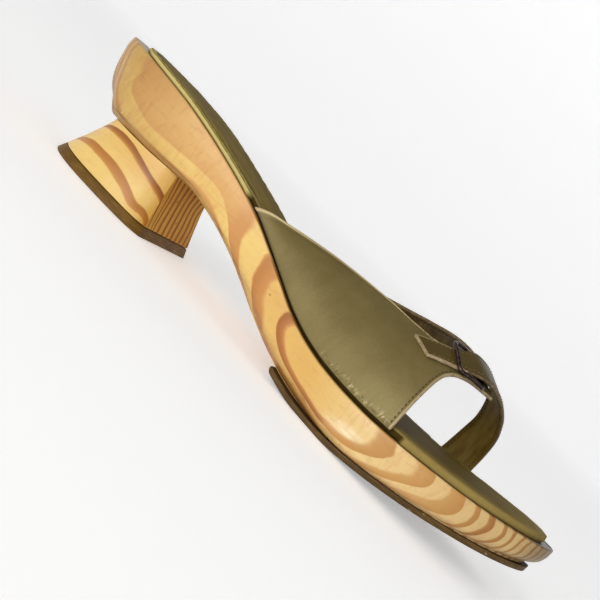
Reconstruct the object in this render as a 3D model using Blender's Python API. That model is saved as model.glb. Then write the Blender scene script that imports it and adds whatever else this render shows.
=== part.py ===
"""Wooden-soled heeled sandal, the right shoe: +X toe, +Y inner side, +Z up.

Every table below is in millimetres and degrees, with its columns named above it.
x runs from the heel's back edge (0) to the toe (250), y is positive on the inner side,
z is measured from the floor. The upper lies on one arch, the last: a point of it is given
by x and by an angle that is 0 at the inner edge of the sole, 90 on the instep and 180 at
the outer edge.
"""
import bmesh
import bpy
import numpy as np

MM = 0.001
GAP = 0.3

# driving sizes, mm
WOOD_AROUND = 88          # points around the sole
WOOD_COLUMNS = 6          # strips across its top and underside
INSOLE_AROUND = 132
OUTSOLE_REAR = 140.5      # where the forefoot rubber starts
OUTSOLE_THICK = 2.1
OUTSOLE_INSET = 2.9       # in from the wood's plan at the sides
OUTSOLE_TOE = 2.1         # and at the toe
LIFT_TOP = 3.8            # thickness of the heel lift
INSOLE_INSET = 1.3
INSOLE_HEEL = 6.8         # how much further in it sits at the heel
INSOLE_TOE = 3.4
STRAP_SEAT = 4.0          # insole inset where a strap goes down beside it
LEATHER = 1.4             # thickness of panel and straps
UPPER_INSET = 3.1         # inner face of the upper, in from the wood's edge
RIDGE_Y = 4.0             # the instep line, towards the inner side
BAR = 1.6                 # buckle wire

# x, thickness of the insole: it is padded under the ball
INSOLE = [(0, 1.8), (60, 1.8), (105, 2.4), (145, 3.0), (250, 3.0)]
# x, y: the sole's plan, from the heel's back along the outer side to the toe and back
PLAN = [
    (0.0, 0.0), (1.3, -9.5), (4.6, -16.8), (12.0, -23.8), (25.0, -28.0), (45.0, -29.5),
    (70.0, -27.9), (95.0, -26.6), (120.0, -29.8), (145.0, -34.2), (165.0, -38.2),
    (185.0, -39.6), (205.0, -36.2), (222.0, -29.2), (236.0, -20.0), (245.0, -11.2),
    (249.0, -3.4), (250.0, 4.0), (248.6, 12.5), (244.0, 21.8), (236.0, 30.2),
    (222.0, 36.8), (205.0, 39.4), (185.0, 40.2), (165.0, 38.4), (145.0, 33.2),
    (120.0, 27.2), (95.0, 22.6), (80.0, 21.4), (65.0, 22.6), (45.0, 27.2), (25.0, 28.6),
    (12.0, 24.2), (4.6, 16.8), (1.3, 9.5),
]
# x, top of the wood, underside of the wood
HEIGHTS = [
    (0, 50.6, 23.4), (12, 50.2, 23.8), (25, 49.5, 24.3), (45, 47.9, 24.9),
    (62, 45.2, 26.0), (70, 43.5, 26.2), (82, 40.6, 24.4), (95, 36.8, 20.8),
    (107, 32.2, 16.2), (120, 26.9, 11.0), (132, 22.2, 7.2), (145, 18.9, 3.9),
    (155, 17.7, 2.5), (165, 17.4, 2.1), (175, 17.6, 2.6), (185, 18.3, 3.8),
    (205, 20.5, 7.2), (222, 22.8, 10.8), (236, 25.2, 14.3), (245, 26.9, 17.2),
    (250, 28.0, 19.0),
]
# share of the way down, inset at the sides, at the heel's back, at the toe
WALL = [
    (0.00, 0.00, 0.9, 0.2), (0.10, -0.15, 0.9, 0.0), (0.30, -0.35, 1.9, 0.0),
    (0.50, -0.30, 3.5, 0.3), (0.66, -0.10, 5.7, 0.8), (0.78, 0.25, 8.6, 1.5),
    (0.87, 0.75, 11.9, 2.3), (0.94, 1.50, 15.2, 3.1), (0.98, 2.30, 17.2, 3.8),
    (1.00, 3.20, 18.6, 4.6),
]
# x, y: the heel block's plan under the sole, from the breast's outer corner round the back
HEEL_TOP = [
    (61.5, -22.5), (58.5, -24.6), (50.0, -26.0), (38.0, -25.6), (29.0, -22.2),
    (23.6, -14.5), (21.8, -5.0), (21.8, 5.0), (23.4, 13.5), (28.5, 21.0), (37.5, 24.6),
    (48.0, 22.6), (55.5, 19.2), (60.5, 16.0),
]
# x, y: the heel's plan on the floor, point for point below HEEL_TOP
HEEL_FLOOR = [
    (68.3, -24.5), (64.0, -29.6), (52.5, -32.8), (37.5, -33.4), (24.5, -29.8),
    (15.8, -20.0), (12.4, -7.5), (12.4, 6.5), (15.6, 18.5), (24.5, 27.0), (37.0, 29.4),
    (51.0, 27.2), (61.0, 24.6), (68.3, 22.4),
]
# x, instep height of the last
RIDGE = [
    (85, 53.0), (95, 52.0), (107, 52.0), (120, 51.6), (135, 51.6), (150, 52.2),
    (160, 53.0), (170, 53.8), (178, 54.0), (184, 53.3), (190, 52.0), (196, 50.0),
    (205, 46.4), (215, 42.0),
]
# back edge x, angle, lift off the last; front edge x, angle, lift
PANEL = [
    (92.5, 178.0, 0, 186.8, 178.0, 0), (95.2, 170.0, 0, 186.2, 168.0, 0),
    (99.2, 161.5, 0, 185.5, 158.0, 0), (107.0, 150.5, 0, 184.9, 148.0, 0),
    (118.0, 137.0, 0, 184.5, 139.5, 0), (130.0, 127.0, 0, 184.6, 134.0, 0),
    (141.0, 121.5, 0, 185.2, 130.0, 0), (153.0, 118.0, 0, 186.3, 126.0, 0),
    (163.0, 114.5, 0, 188.3, 121.0, 0), (171.0, 109.0, 0, 191.0, 115.5, 0),
    (177.0, 101.5, 0, 193.6, 111.0, 0), (182.0, 93.0, 0, 196.2, 105.5, 0),
    (186.3, 84.5, 0, 198.2, 99.0, 0),
]
# rear edge x, angle, lift; front edge x, angle, lift
FRONT_STRAP = [
    (192.5, 2.0, 0.0, 207.3, 2.0, 0.0), (193.5, 22.0, 0.0, 207.3, 22.0, 0.0),
    (194.4, 42.0, 0.0, 207.0, 42.0, 0.0), (193.8, 58.0, 0.3, 206.0, 58.0, 0.0),
    (191.6, 72.0, 1.9, 204.2, 74.0, 0.5), (188.4, 83.5, 2.9, 200.6, 88.0, 1.7),
    (185.4, 93.5, 3.3, 197.0, 100.0, 2.7), (182.7, 102.5, 3.7, 193.0, 110.5, 3.7),
    (180.5, 109.5, 2.8, 189.0, 118.0, 2.8), (178.0, 115.5, 1.8, 184.6, 124.5, 1.8),
    (172.5, 122.5, 1.75, 180.6, 129.6, 1.75), (166.8, 129.5, 1.75, 176.0, 134.5, 1.75),
]
# upper edge x, angle, lift; lower edge x, angle, lift
REAR_STRAP = [
    (102.5, 3.0, 0.0, 118.5, 3.0, 0.0), (110.0, 22.0, 0.0, 126.0, 16.0, 0.0),
    (122.0, 41.0, 0.0, 136.0, 30.0, 0.0), (136.0, 55.0, 0.0, 147.5, 43.0, 0.0),
    (150.0, 67.5, 0.2, 159.5, 54.0, 0.0), (163.0, 78.5, 0.8, 172.5, 63.5, 0.2),
    (174.0, 87.0, 1.75, 184.0, 70.0, 1.0), (183.0, 93.0, 1.9, 194.0, 76.0, 1.6),
]
# x, angle, lift of the wire's centre: the buckle's corners, in order round the frame
BUCKLE = [
    (176.6, 113.6, 4.35), (186.0, 127.0, 4.35), (194.6, 112.6, 2.55), (181.3, 100.6, 2.55),
]
# name: colour, roughness, metallic
MATERIALS = {
    "wood": ((0.78, 0.54, 0.26, 1), 0.35, 0.0),
    "heel_wood": ((0.74, 0.50, 0.23, 1), 0.38, 0.0),
    "rubber": ((0.05, 0.03, 0.018, 1), 0.7, 0.0),
    "lift_rubber": ((0.06, 0.037, 0.02, 1), 0.7, 0.0),
    "sock_leather": ((0.22, 0.18, 0.08, 1), 0.5, 0.1),
    "panel_leather": ((0.24, 0.19, 0.09, 1), 0.45, 0.2),
    "strap_leather": ((0.23, 0.18, 0.085, 1), 0.45, 0.2),
    "dark_metal": ((0.09, 0.07, 0.07, 1), 0.3, 1.0),
}


def table(rows, column):
    """A smooth, never overshooting curve through one column of a table against x."""
    x = np.array([r[0] for r in rows], float)
    y = np.array([r[column] for r in rows], float)
    h, d = np.diff(x), np.diff(y) / np.diff(x)
    m = np.empty_like(y)
    m[0], m[-1] = d[0], d[-1]
    for i in range(1, len(x) - 1):
        if d[i - 1] * d[i] <= 0:
            m[i] = 0.0
        else:
            a, b = 2 * h[i] + h[i - 1], h[i] + 2 * h[i - 1]
            m[i] = (a + b) / (a / d[i - 1] + b / d[i])

    def at(q):
        q = np.clip(np.asarray(q, float), x[0], x[-1])
        i = np.clip(np.searchsorted(x, q) - 1, 0, len(x) - 2)
        t = (q - x[i]) / h[i]
        return ((2 * t**3 - 3 * t**2 + 1) * y[i] + (t**3 - 2 * t**2 + t) * h[i] * m[i]
                + (3 * t**2 - 2 * t**3) * y[i + 1] + (t**3 - t**2) * h[i] * m[i + 1])
    return at


def spline(points, count, closed):
    """A cubic through the points by chord length, sampled evenly along its length."""
    p = np.array(points, float)
    if closed:
        p = np.vstack([p, p[:1]])
    s = np.r_[0, np.cumsum(np.linalg.norm(np.diff(p, axis=0), axis=1) ** 0.5)]
    n, h, d = len(p), np.diff(s), np.diff(p, axis=0) / np.diff(s)[:, None]
    a, b = np.zeros((n, n)), np.zeros(p.shape)
    for i in range(1, n - 1):
        a[i, i - 1], a[i, i], a[i, i + 1] = h[i], 2 * (h[i - 1] + h[i]), h[i - 1]
        b[i] = 3 * (h[i] * d[i - 1] + h[i - 1] * d[i])
    if closed:
        a[0, 0], a[0, -1] = 1, -1
        a[-1, 0], a[-1, 1] = 2 * h[-1], h[-1]
        a[-1, -1], a[-1, -2] = 2 * h[0], h[0]
        b[-1] = 3 * (h[-1] * d[0] + h[0] * d[-1])
    else:
        a[0, 0], a[0, 1], b[0] = 2, 1, 3 * d[0]
        a[-1, -1], a[-1, -2], b[-1] = 2, 1, 3 * d[-1]
    m = np.linalg.solve(a, b)

    def at(q):
        i = np.clip(np.searchsorted(s, q) - 1, 0, n - 2)
        t = ((q - s[i]) / h[i])[:, None]
        k = h[i][:, None]
        return ((2 * t**3 - 3 * t**2 + 1) * p[i] + (t**3 - 2 * t**2 + t) * k * m[i]
                + (3 * t**2 - 2 * t**3) * p[i + 1] + (t**3 - t**2) * k * m[i + 1])
    fine = np.linspace(0, s[-1], 3000)
    run = at(fine)
    length = np.r_[0, np.cumsum(np.linalg.norm(np.diff(run, axis=0), axis=1))]
    stops = np.linspace(0, length[-1], count + 1 if closed else count)
    return at(np.interp(stops[:-1] if closed else stops, length, fine))


def ease(value, low, high):
    t = np.clip((np.asarray(value, float) - low) / (high - low), 0, 1)
    return t * t * (3 - 2 * t)


wood_top, wood_under, ridge = table(HEIGHTS, 1), table(HEIGHTS, 2), table(RIDGE, 1)


def plan_loop(count):
    """The sole's plan and its outward direction, from the heel's back round by the toe."""
    turn = spline(PLAN, 4000, True)
    toe = int(np.argmax(turn[:, 0]))
    half = count // 2
    picks = []
    for part in (turn[:toe + 1], np.vstack([turn[toe:], turn[:1]])):
        run = np.r_[0, np.cumsum(np.linalg.norm(np.diff(part, axis=0), axis=1))]
        stops = np.linspace(0, run[-1], half + 1)[:-1]
        picks.append(np.c_[np.interp(stops, run, part[:, 0]), np.interp(stops, run, part[:, 1])])
    loop = np.vstack(picks)
    along = np.roll(loop, -1, axis=0) - np.roll(loop, 1, axis=0)
    along /= np.linalg.norm(along, axis=1)[:, None]
    return loop, np.c_[along[:, 1], -along[:, 0]]


def ends(out):
    """How much a point of the edge faces the heel's back, and how much the toe."""
    return ease(-out[:, 0], 0.0, 0.72), ease(out[:, 0], 0.45, 0.95)


def half_width(side):
    """The plan's half width against x, on the outer (-1) or inner (1) side."""
    turn = spline(PLAN, 1200, True)
    part = turn[turn[:, 1] * side > 2.0]
    part = part[np.argsort(part[:, 0])]
    return lambda q: np.interp(q, part[:, 0], np.abs(part[:, 1]))


outer_half, inner_half = half_width(-1), half_width(1)


def make(name, verts, faces, material):
    mesh = bpy.data.meshes.new(name)
    mesh.from_pydata([tuple(MM * float(c) for c in v) for v in verts], [], faces)
    bm = bmesh.new()
    bm.from_mesh(mesh)
    bmesh.ops.triangulate(bm, faces=[f for f in bm.faces if len(f.verts) > 4])
    bmesh.ops.recalc_face_normals(bm, faces=bm.faces)
    bm.to_mesh(mesh)
    bm.free()
    colour, rough, metal = MATERIALS[material]
    mat = bpy.data.materials.new(material)
    mat.use_nodes = True
    shader = mat.node_tree.nodes["Principled BSDF"]
    shader.inputs["Base Color"].default_value = colour
    shader.inputs["Roughness"].default_value = rough
    shader.inputs["Metallic"].default_value = metal
    mat.diffuse_color = colour
    mesh.materials.append(mat)
    obj = bpy.data.objects.new(name, mesh)
    bpy.context.scene.collection.objects.link(obj)
    return obj


def wall_faces(rings, count, closed=True):
    faces = []
    for r in range(rings - 1):
        for i in range(count if closed else count - 1):
            j = (i + 1) % count
            faces.append((r * count + i, r * count + j, (r + 1) * count + j, (r + 1) * count + i))
    return faces


def cap(verts, start, loop, height, columns):
    """Closes a sole-shaped ring with strips from side to side that follow a height."""
    count, half = len(loop), len(loop) // 2
    rows = []
    for j in range(1, half):
        a, b = loop[j], loop[count - j]
        row = [start + j]
        for k in range(1, columns):
            p = a + (b - a) * k / columns
            row.append(len(verts))
            verts.append((p[0], p[1], float(height(p[0]))))
        rows.append(row + [start + count - j])
    faces = [(start, rows[0][k], rows[0][k + 1]) for k in range(columns)]
    faces += [(start + half, rows[-1][k + 1], rows[-1][k]) for k in range(columns)]
    for r0, r1 in zip(rows, rows[1:]):
        faces += [(r0[k], r1[k], r1[k + 1], r0[k + 1]) for k in range(columns)]
    return faces


def sole_shell(name, rings, top, under, material):
    """A closed body from sole-shaped rings, first ring on top, last ring underneath."""
    verts = [tuple(p) for ring in rings for p in ring]
    count = len(rings[0])
    faces = wall_faces(len(rings), count)
    faces += cap(verts, 0, rings[0], top, WOOD_COLUMNS)
    faces += cap(verts, (len(rings) - 1) * count, rings[-1], under, WOOD_COLUMNS)
    return make(name, verts, faces, material)


def wood_sole():
    rim, out = plan_loop(WOOD_AROUND)
    at_heel, at_toe = ends(out)
    high, low = wood_top(rim[:, 0]), wood_under(rim[:, 0])
    rings = []
    for down, side, heel, toe in WALL:
        inset = side + at_heel * (heel - side) + at_toe * (toe - side)
        flat = rim - out * inset[:, None]
        rings.append(np.c_[flat, high + (low - high) * down])
    return sole_shell("wood_sole", rings, wood_top, wood_under, "wood")


def insole():
    """The padded sock on the wood: narrower where the upper goes down beside it."""
    rim, out = plan_loop(INSOLE_AROUND)
    at_heel, at_toe = ends(out)
    x, y = rim.T

    def seat(low, high):
        return ease(x, low - 6.0, low - 4.0) * (1 - ease(x, high + 4.0, high + 6.0))
    outer = seat(PANEL[0][0], PANEL[0][3]) * (y < 0)
    inner = (seat(REAR_STRAP[0][0], REAR_STRAP[0][3])
             + seat(FRONT_STRAP[0][0], FRONT_STRAP[0][3])) * (y > 0)
    base = INSOLE_INSET + INSOLE_HEEL * at_heel + INSOLE_TOE * at_toe
    base = np.maximum(base, INSOLE_INSET + (STRAP_SEAT - INSOLE_INSET) * (outer + inner))
    thick = table(INSOLE, 1)
    rings = []
    # share of the thickness, further inset
    for up, more in ((1.0, 1.9), (0.88, 0.8), (0.62, 0.0), (0.17, 0.0), (0.0, 0.5)):
        flat = rim - out * (base + more)[:, None]
        rings.append(np.c_[flat, wood_top(flat[:, 0]) + GAP + up * thick(flat[:, 0])])
    return sole_shell("insole", rings, lambda q: wood_top(q) + GAP + thick(q),
                      lambda q: wood_top(q) + GAP, "sock_leather")


def outsole():
    """Forefoot rubber: follows the underside and is worn flat where it meets the floor."""
    fine = plan_loop(400)
    inset = OUTSOLE_INSET + (OUTSOLE_TOE - OUTSOLE_INSET) * ends(fine[1])[1]
    edge = fine[0] - fine[1] * inset[:, None]
    half = len(edge) // 2
    outer, inner = edge[:half + 1], np.vstack([edge[half:], edge[:1]])[::-1]
    stations = np.r_[OUTSOLE_REAR, OUTSOLE_REAR + 1.2,
                     np.linspace(OUTSOLE_REAR + 5, 238, 22), 241, 243.7, 246, 247.6]
    verts, sides = [], []
    columns = 6
    for i, x in enumerate(stations):
        a = np.interp(x, outer[:, 0], outer[:, 1])
        b = np.interp(x, inner[:, 0], inner[:, 1])
        top = float(wood_under(x)) - GAP
        thick = OUTSOLE_THICK - (0.8 if i == 0 else 0.0)
        for level, draw in ((0.0, 0.0), (0.45, -0.25), (1.0, 0.35)):
            for k in range(columns + 1):
                y = a + draw + (b - a - 2 * draw) * k / columns
                verts.append((x, y, max(top - thick * level, 0.0)))
    width, rows = columns + 1, 3
    ring = 3 * width
    faces = []
    for i in range(len(stations) - 1):
        o, n = i * ring, (i + 1) * ring
        for k in range(columns):
            faces.append((o + k, n + k, n + k + 1, o + k + 1))
            faces.append((o + 2 * width + k, o + 2 * width + k + 1,
                          n + 2 * width + k + 1, n + 2 * width + k))
        for r in range(rows - 1):
            for k in (0, columns):
                a, b = o + r * width + k, o + (r + 1) * width + k
                faces.append((a, b, b + ring, a + ring))
    for o in (0, (len(stations) - 1) * ring):
        for r in range(rows - 1):
            for k in range(columns):
                a = o + r * width + k
                faces.append((a, a + 1, a + width + 1, a + width))
    return make("forefoot_outsole", verts, faces, "rubber")


HEEL_AROUND, BREAST = 46, 5
HEEL_UP = spline(HEEL_TOP, HEEL_AROUND, False)
HEEL_DOWN = spline(HEEL_FLOOR, HEEL_AROUND, False)


def heel_ring(height):
    """The heel's plan at a height: it widens to the floor, and its breast runs forward."""
    share = 1 - np.clip(height / wood_under(HEEL_UP[:, 0]), 0, 1)
    share = share ** 1.15
    flat = HEEL_UP + (HEEL_DOWN - HEEL_UP) * share[:, None]
    breast = [flat[-1] + (flat[0] - flat[-1]) * k / (BREAST + 1) for k in range(1, BREAST + 1)]
    return np.vstack([flat, breast])


def heel_body(name, levels, material):
    rings = []
    for level in levels:
        if level is None:
            flat = heel_ring(wood_under(HEEL_UP[:, 0]) - GAP)
            rings.append(np.c_[flat, wood_under(flat[:, 0]) - GAP])
        else:
            flat = heel_ring(level)
            rings.append(np.c_[flat, np.full(len(flat), level)])
    count = len(rings[0])
    verts = [tuple(p) for ring in rings for p in ring]
    faces = wall_faces(len(rings), count)
    for at in (0, len(rings) - 1):
        centre = len(verts)
        mid = rings[at].mean(axis=0)
        verts.append((mid[0], mid[1], mid[2] if levels[at] is not None
                      else float(wood_under(mid[0])) - GAP))
        faces += [(at * count + i, at * count + (i + 1) % count, centre) for i in range(count)]
    return make(name, verts, faces, material)


def last(x, angle, lift=0.0):
    """A point of the last, and its outward direction times the lift."""
    x, angle = np.asarray(x, float), np.radians(np.asarray(angle, float))

    def on(x, angle):
        inner = inner_half(x) - UPPER_INSET - RIDGE_Y
        outer = outer_half(x) - UPPER_INSET + RIDGE_Y
        reach = np.where(np.cos(angle) > 0, inner, outer)
        base = wood_top(x) + GAP + 0.05
        return np.stack([x, RIDGE_Y + reach * np.cos(angle),
                         base + (ridge(x) - base) * np.sin(angle)], axis=-1)
    p = on(x, angle)
    along = on(x + 1.5, angle) - on(x - 1.5, angle)
    round_ = on(x, angle + 0.02) - on(x, angle - 0.02)
    out = np.cross(along, round_)
    out = out / np.linalg.norm(out, axis=-1)[..., None]
    out = np.where((out[..., 2:] * 1.0 + out[..., 1:2] * np.cos(angle)[..., None]) < 0, -out, out)
    return p + out * np.asarray(lift, float)[..., None]


def leather(name, rows, along, across, material):
    """A strip of the upper between two edges given on the last, with real thickness."""
    rows = np.array(rows, float)
    t = np.linspace(0, len(rows) - 1, along)
    index = np.c_[np.arange(len(rows)), rows]
    edges = [table([tuple(r) for r in index], c)(t) for c in range(1, 7)]
    v = np.linspace(0, 1, across)
    grid = []
    for k in range(3):
        grid.append(edges[k][:, None] * (1 - v) + edges[k + 3][:, None] * v)
    inner = last(grid[0], grid[1], grid[2])
    outer = last(grid[0], grid[1], grid[2] + LEATHER)
    verts = [tuple(p) for p in inner.reshape(-1, 3)] + [tuple(p) for p in outer.reshape(-1, 3)]
    n = along * across
    faces = []
    for i in range(along - 1):
        for j in range(across - 1):
            a = i * across + j
            faces.append((a, a + across, a + across + 1, a + 1))
            faces.append((n + a, n + a + 1, n + a + across + 1, n + a + across))
        for j in (0, across - 1):
            a, b = i * across + j, (i + 1) * across + j
            faces.append((a, b, n + b, n + a))
    for i in (0, along - 1):
        for j in range(across - 1):
            a = i * across + j
            faces.append((a, a + 1, n + a + 1, n + a))
    return make(name, verts, faces, material)


def instep_straps():
    """The two inner straps, joined on the instep, with the tab that goes to the buckle."""
    front = leather("instep_straps", FRONT_STRAP, 46, 7, "strap_leather")
    rear = leather("rear_strap_blank", REAR_STRAP, 30, 6, "strap_leather")
    join = front.modifiers.new("join", "BOOLEAN")
    join.operation, join.object, join.solver = "UNION", rear, "EXACT"
    view = bpy.context.evaluated_depsgraph_get()
    joined = bpy.data.meshes.new_from_object(front.evaluated_get(view))
    front.modifiers.clear()
    front.data = joined
    bpy.data.objects.remove(rear)
    return front


def buckle():
    """A wire frame curved to the foot: the tab goes over its inner bar, under its outer one."""
    corners, path = np.array(BUCKLE, float), []
    for i in range(4):
        here, before, after = corners[i], corners[i - 1], corners[(i + 1) % 4]
        for t in np.linspace(0, 1, 4):
            a, b = here + (before - here) * 0.16, here + (after - here) * 0.16
            path.append((1 - t) ** 2 * a + 2 * t * (1 - t) * here + t * t * b)
        path += [here + (after - here) * t for t in (0.33, 0.5, 0.67)]
    path = np.array([last(x, a, l) for x, a, l in path])
    corners = np.array([last(x, a, l) for x, a, l in BUCKLE])
    normal = np.cross(corners[2] - corners[0], corners[3] - corners[1])
    normal /= np.linalg.norm(normal)
    verts, count, sides = [], len(path), 8
    for i in range(count):
        run = path[(i + 1) % count] - path[i - 1]
        side = np.cross(normal, run / np.linalg.norm(run))
        side /= np.linalg.norm(side)
        for k in range(sides):
            turn = 2 * np.pi * (k + 0.5) / sides
            verts.append(path[i] + BAR / 2 * (side * np.cos(turn) + normal * np.sin(turn)))
    faces = []
    for i in range(count):
        for k in range(sides):
            a, b = i * sides + k, i * sides + (k + 1) % sides
            c, d = ((i + 1) % count) * sides + k, ((i + 1) % count) * sides + (k + 1) % sides
            faces.append((a, b, d, c))
    return make("buckle", verts, faces, "dark_metal")


for old in list(bpy.data.objects):
    bpy.data.objects.remove(old, do_unlink=True)

pieces = [
    wood_sole(),
    heel_body("heel_block", (None, 18.0, 12.5, 8.0, LIFT_TOP + GAP), "heel_wood"),
    heel_body("heel_lift", (LIFT_TOP, 0.0), "lift_rubber"),
    outsole(),
    insole(),
    leather("vamp_panel", PANEL, 40, 22, "panel_leather"),
    instep_straps(),
    buckle(),
]

points = np.array([v.co for o in pieces for v in o.data.vertices])
low, high = points.min(axis=0), points.max(axis=0)
for o in pieces:
    for v in o.data.vertices:
        v.co.x -= (low[0] + high[0]) / 2
        v.co.y -= (low[1] + high[1]) / 2
        v.co.z -= low[2]
print("size mm", (high - low) / MM, "centre mm", (low + high) / 2 / MM)
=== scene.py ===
# %% [markdown]
# # A wooden-soled sandal with a block heel
# It is a right shoe. Its sole and heel are carved from one strongly figured softwood. Its
# upper is a side panel of bronze leather and two straps, which join on the instep and close
# in a small wire buckle. Each part is made here as a smooth, detailed piece over the plain
# solid that carries it. Tables are in millimetres: x from the heel's back to the toe, y
# towards the inner side, z up from the floor.

# %% The plain model and the tools
import math

import bpy
import numpy as np
from mathutils import Matrix, Vector


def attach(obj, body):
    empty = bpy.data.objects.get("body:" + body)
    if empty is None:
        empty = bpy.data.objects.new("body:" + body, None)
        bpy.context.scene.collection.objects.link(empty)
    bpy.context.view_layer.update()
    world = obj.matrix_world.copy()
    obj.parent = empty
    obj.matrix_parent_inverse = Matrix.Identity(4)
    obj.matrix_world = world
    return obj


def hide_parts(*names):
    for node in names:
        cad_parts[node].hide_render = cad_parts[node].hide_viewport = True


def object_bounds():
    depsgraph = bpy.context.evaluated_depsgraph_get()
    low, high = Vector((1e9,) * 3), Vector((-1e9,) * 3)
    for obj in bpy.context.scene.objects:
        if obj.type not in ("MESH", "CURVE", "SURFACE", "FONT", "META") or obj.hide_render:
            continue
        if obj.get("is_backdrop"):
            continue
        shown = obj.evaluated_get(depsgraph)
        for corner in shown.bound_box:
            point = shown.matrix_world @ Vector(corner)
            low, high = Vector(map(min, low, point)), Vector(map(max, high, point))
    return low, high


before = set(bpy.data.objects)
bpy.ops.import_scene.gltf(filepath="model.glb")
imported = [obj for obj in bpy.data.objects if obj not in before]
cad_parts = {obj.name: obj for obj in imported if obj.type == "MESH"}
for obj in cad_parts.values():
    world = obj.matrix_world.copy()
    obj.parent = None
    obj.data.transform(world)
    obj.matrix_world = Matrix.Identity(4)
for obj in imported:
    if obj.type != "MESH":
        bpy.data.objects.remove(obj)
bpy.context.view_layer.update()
MM = 0.001
SHIFT = np.array([125.45, 0.27, 0.0])     # the plain model's origin, in this file's tables
print("plain solids:", sorted(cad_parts))

# %% [markdown]
# ## The named sizes
# A last-maker works from a few tables: the plan of the sole, the heights of its top and its
# underside, the profile of its wall, and the instep line that the upper follows. Everything
# else is interpolated between these rows, so the curves stay fair.

# %% Sizes of the wood
GAP = 0.3     # air left where two pieces are glued, so that their faces never meet
# x, y of the sole's edge, from the heel's back along the outer side to the toe and home
PLAN = [
    (0.0, 0.0), (1.3, -9.5), (4.6, -16.8), (12.0, -23.8), (25.0, -28.0), (45.0, -29.5),
    (70.0, -27.9), (95.0, -26.6), (120.0, -29.8), (145.0, -34.2), (165.0, -38.2),
    (185.0, -39.6), (205.0, -36.2), (222.0, -29.2), (236.0, -20.0), (245.0, -11.2),
    (249.0, -3.4), (250.0, 4.0), (248.6, 12.5), (244.0, 21.8), (236.0, 30.2),
    (222.0, 36.8), (205.0, 39.4), (185.0, 40.2), (165.0, 38.4), (145.0, 33.2),
    (120.0, 27.2), (95.0, 22.6), (80.0, 21.4), (65.0, 22.6), (45.0, 27.2), (25.0, 28.6),
    (12.0, 24.2), (4.6, 16.8), (1.3, 9.5),
]
# x, top of the wood, underside of the wood
HEIGHTS = [
    (0, 50.6, 23.4), (12, 50.2, 23.8), (25, 49.5, 24.3), (45, 47.9, 24.9),
    (62, 45.2, 26.0), (70, 43.5, 26.2), (82, 40.6, 24.4), (95, 36.8, 20.8),
    (107, 32.2, 16.2), (120, 26.9, 11.0), (132, 22.2, 7.2), (145, 18.9, 3.9),
    (155, 17.7, 2.5), (165, 17.4, 2.1), (175, 17.6, 2.6), (185, 18.3, 3.8),
    (205, 20.5, 7.2), (222, 22.8, 10.8), (236, 25.2, 14.3), (245, 26.9, 17.2),
    (250, 28.0, 19.0),
]
# share of the way down, inset at the sides, at the heel's back, at the toe
WALL = [
    (0.00, 0.00, 0.9, 0.2), (0.10, -0.15, 0.9, 0.0), (0.30, -0.35, 1.9, 0.0),
    (0.50, -0.30, 3.5, 0.3), (0.66, -0.10, 5.7, 0.8), (0.78, 0.25, 8.6, 1.5),
    (0.87, 0.75, 11.9, 2.3), (0.94, 1.50, 15.2, 3.1), (0.98, 2.30, 17.2, 3.8),
    (1.00, 3.20, 18.6, 4.6),
]
# x, y of the heel block under the sole, from the breast's outer corner round the back
HEEL_TOP = [
    (61.5, -22.5), (58.5, -24.6), (50.0, -26.0), (38.0, -25.6), (29.0, -22.2),
    (23.6, -14.5), (21.8, -5.0), (21.8, 5.0), (23.4, 13.5), (28.5, 21.0), (37.5, 24.6),
    (48.0, 22.6), (55.5, 19.2), (60.5, 16.0),
]
# the same points on the floor
HEEL_FLOOR = [
    (68.3, -24.5), (64.0, -29.6), (52.5, -32.8), (37.5, -33.4), (24.5, -29.8),
    (15.8, -20.0), (12.4, -7.5), (12.4, 6.5), (15.6, 18.5), (24.5, 27.0), (37.0, 29.4),
    (51.0, 27.2), (61.0, 24.6), (68.3, 22.4),
]
print("sole", max(x for x, _ in PLAN), "mm long, top of the heel", HEIGHTS[0][1], "mm up")

# %% Sizes of the leather and rubber parts
# the forefoot rubber: where it starts, its thickness, inset at the sides and at the toe
OUTSOLE_REAR, OUTSOLE_THICK, OUTSOLE_INSET, OUTSOLE_TOE = 140.5, 2.1, 2.9, 2.1
LIFT_TOP = 3.8
# the insole's edge inside the sole's: at the sides, what the heel and the toe add, at a strap
INSOLE_INSET, INSOLE_HEEL, INSOLE_TOE, STRAP_SEAT = 1.3, 6.8, 3.4, 4.0
# thickness of the leather, inset of its foot, y of the instep line, thickness of the wire
LEATHER, UPPER_INSET, RIDGE_Y, BAR = 1.4, 3.1, 4.0, 1.6
# x, thickness of the insole: it is padded under the ball
INSOLE = [(0, 1.8), (60, 1.8), (105, 2.4), (145, 3.0), (250, 3.0)]
# x, instep height of the last
RIDGE = [
    (85, 53.0), (95, 52.0), (107, 52.0), (120, 51.6), (135, 51.6), (150, 52.2),
    (160, 53.0), (170, 53.8), (178, 54.0), (184, 53.3), (190, 52.0), (196, 50.0),
    (205, 46.4), (215, 42.0),
]
# back edge x, angle round the last, lift off it; front edge x, angle, lift
PANEL = [
    (92.5, 178.0, 0, 186.8, 178.0, 0), (95.2, 170.0, 0, 186.2, 168.0, 0),
    (99.2, 161.5, 0, 185.5, 158.0, 0), (107.0, 150.5, 0, 184.9, 148.0, 0),
    (118.0, 137.0, 0, 184.5, 139.5, 0), (130.0, 127.0, 0, 184.6, 134.0, 0),
    (141.0, 121.7, 0, 185.2, 130.0, 0), (152.0, 119.6, 0, 186.3, 126.0, 0),
    (162.0, 120.2, 0, 188.3, 121.5, 0), (169.5, 120.0, 0, 191.0, 116.2, 0),
    (176.0, 115.0, 0, 193.6, 111.5, 0), (181.5, 103.5, 0, 196.2, 105.5, 0),
    (186.3, 90.0, 0, 198.2, 99.0, 0),
]
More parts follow.
